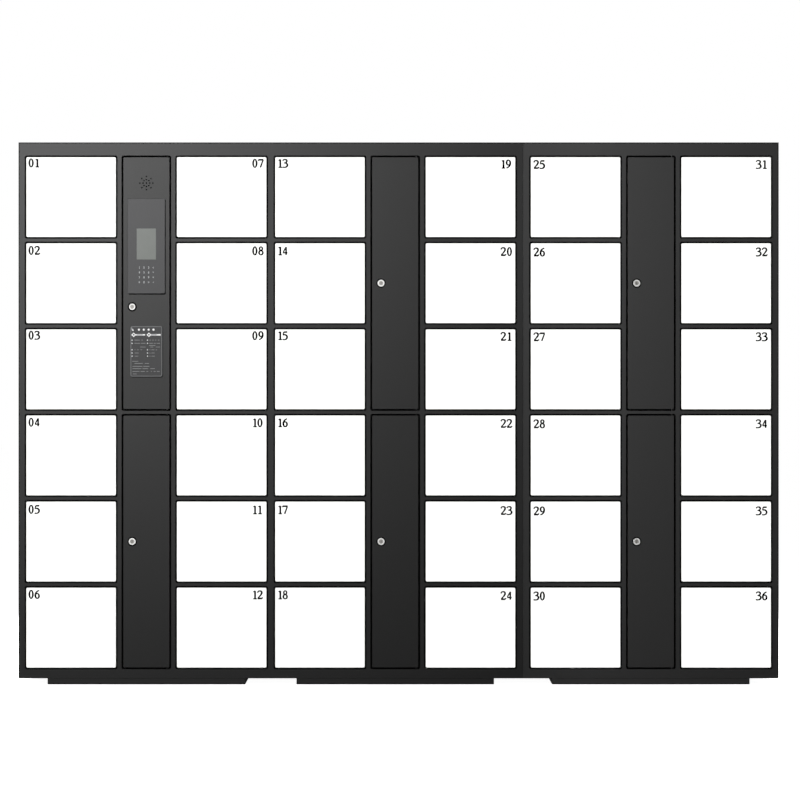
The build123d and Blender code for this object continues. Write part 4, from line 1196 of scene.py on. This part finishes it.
class LOCKER_OT_studio(bpy.types.Operator):
    """Pale floor, soft lights, white background and the camera"""

    bl_idname = "locker.studio"
    bl_label = "Set up the studio"

    def execute(self, context):
        studio = context.scene.locker.studio
        self.floor()
        self.lights(studio)
        self.background(studio)
        self.camera(studio)
        context.scene.view_settings.view_transform = "Standard"
        return {"FINISHED"}

    def floor(self):
        """A large plain floor that reads nearly white."""
        bm = bmesh.new()
        bmesh.ops.create_grid(bm, x_segments=2, y_segments=2, size=90.0)
        mesh = bpy.data.meshes.new("studio_floor")
        bm.to_mesh(mesh)
        bm.free()
        material, tree, shader, place = new_material("pale_floor")
        tone = blend_colours(tree, grain(tree, place, 0.6), linear("#F7F7F6"), linear("#FCFCFB"))
        tree.links.new(tone, shader.inputs["Base Color"])
        shader.inputs["Roughness"].default_value = 0.9
        shader.inputs["Emission Color"].default_value = (1.0, 1.0, 1.0, 1.0)
        shader.inputs["Emission Strength"].default_value = 0.97
        mesh.materials.append(material)
        floor = bpy.data.objects.new("studio_floor", mesh)
        floor.visible_glossy = False
        bpy.context.scene.collection.objects.link(floor)

    def lights(self, studio):
        """Key high on the left in front, fill from the camera's side, and softer ones round the rest."""
        plan = (
            ("key_light", (-1.86, -9.0, 2.64), (-1.1, FACE_Y, 1.5), (0.9, 0.9), studio.key_power, True),
            ("fill_light", (0.0, -7.0, 1.6), (0.0, FACE_Y, 0.9), (7.0, 4.0), studio.fill_power, False),
            ("left_light", (-4.5, 1.6, 2.2), (-1.2, 0.1, 0.9), (2.5, 2.5), studio.side_power, True),
            ("right_light", (4.5, 1.6, 2.2), (1.2, 0.1, 0.9), (2.5, 2.5), studio.side_power, True),
            ("rear_light", (-1.0, 5.0, 2.8), (0.0, 0.2, 0.9), (4.0, 2.5), 2 * studio.side_power, True),
            ("top_light", (0.0, 1.6, 4.5), (0.0, 0.2, 1.8), (4.0, 2.0), studio.side_power, True),
        )
        for name, spot, aim, size, power, glossy in plan:
            data = bpy.data.lights.new(name, "AREA")
            data.shape = "RECTANGLE"
            data.size, data.size_y = size
            data.energy = power
            light = bpy.data.objects.new(name, data)
            light.location = spot
            light.rotation_euler = (Vector(aim) - Vector(spot)).to_track_quat("-Z", "Y").to_euler()
            light.visible_glossy = glossy
            light.visible_camera = False
            bpy.context.scene.collection.objects.link(light)

    def background(self, studio):
        """White behind the object, and only a little light from all round it."""
        world = bpy.data.worlds.new("studio_room")
        bpy.context.scene.world = world
        world.use_nodes = True
        tree = world.node_tree
        tree.nodes.clear()
        room = add_node(tree, "ShaderNodeBackground", {"Color": (1, 1, 1, 1), "Strength": studio.ambient})
        seen = add_node(tree, "ShaderNodeBackground", {"Color": (1, 1, 1, 1), "Strength": 1.0})
        ray = add_node(tree, "ShaderNodeLightPath").outputs["Is Camera Ray"]
        mixed = add_node(tree, "ShaderNodeMixShader", {0: ray, 1: room.outputs[0], 2: seen.outputs[0]})
        output = add_node(tree, "ShaderNodeOutputWorld")
        tree.links.new(mixed.outputs[0], output.inputs["Surface"])

    def camera(self, studio):
        """Square on to the doors from far off, at half the photograph's height."""
        data = bpy.data.cameras.new("camera")
        data.sensor_width = 36.0
        data.lens = studio.lens
        data.clip_end = 400.0
        camera = bpy.data.objects.new("camera", data)
        camera.location = (4.6 * MM, FACE_Y - studio.distance, 944.5 * MM)
        camera.rotation_euler = (math.radians(90), 0.0, 0.0)
        bpy.context.scene.collection.objects.link(camera)
        bpy.context.scene.camera = camera


class LOCKER_PT_panel(bpy.types.Panel):
    """Lists the steps that dress the locker"""

    bl_idname = "LOCKER_PT_panel"
    bl_label = "Deposit locker"
    bl_space_type = "VIEW_3D"
    bl_region_type = "UI"
    bl_category = "Locker"

    def draw(self, context):
        for step in STEPS:
            self.layout.operator(step.bl_idname)


STEPS = (
    LOCKER_OT_coat_cabinet,
    LOCKER_OT_opening_shade_beads,
    LOCKER_OT_coat_doors,
    LOCKER_OT_coat_service_doors,
    LOCKER_OT_finish_locks,
    LOCKER_OT_door_buffers,
    LOCKER_OT_door_numbers,
    LOCKER_OT_control_panel,
    LOCKER_OT_instruction_plate,
    LOCKER_OT_equip_service_columns,
    LOCKER_OT_back_rivets,
    LOCKER_OT_studio,
)
SETTINGS = (
    LockerNumberSettings, LockerPaintSettings, LockerPanelSettings, LockerStudioSettings, LockerSettings,
)


def register():
    for item in SETTINGS + STEPS + (LOCKER_PT_panel,):
        bpy.utils.register_class(item)
    bpy.types.Scene.locker = bpy.props.PointerProperty(type=LockerSettings)


def unregister():
    del bpy.types.Scene.locker
    for item in reversed(SETTINGS + STEPS + (LOCKER_PT_panel,)):
        bpy.utils.unregister_class(item)


def main():
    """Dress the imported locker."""
    register()
    bpy.ops.locker.coat_cabinet()
    bpy.ops.locker.opening_beads()
    bpy.ops.locker.coat_doors()
    bpy.ops.locker.coat_service_doors()
    bpy.ops.locker.finish_locks()
    bpy.ops.locker.door_buffers()
    bpy.ops.locker.door_numbers()
    bpy.ops.locker.control_panel()
    bpy.ops.locker.instruction_plate()
    bpy.ops.locker.equip_service_columns()
    bpy.ops.locker.back_rivets()
    bpy.ops.locker.studio()


if __name__ == "__main__":
    main()
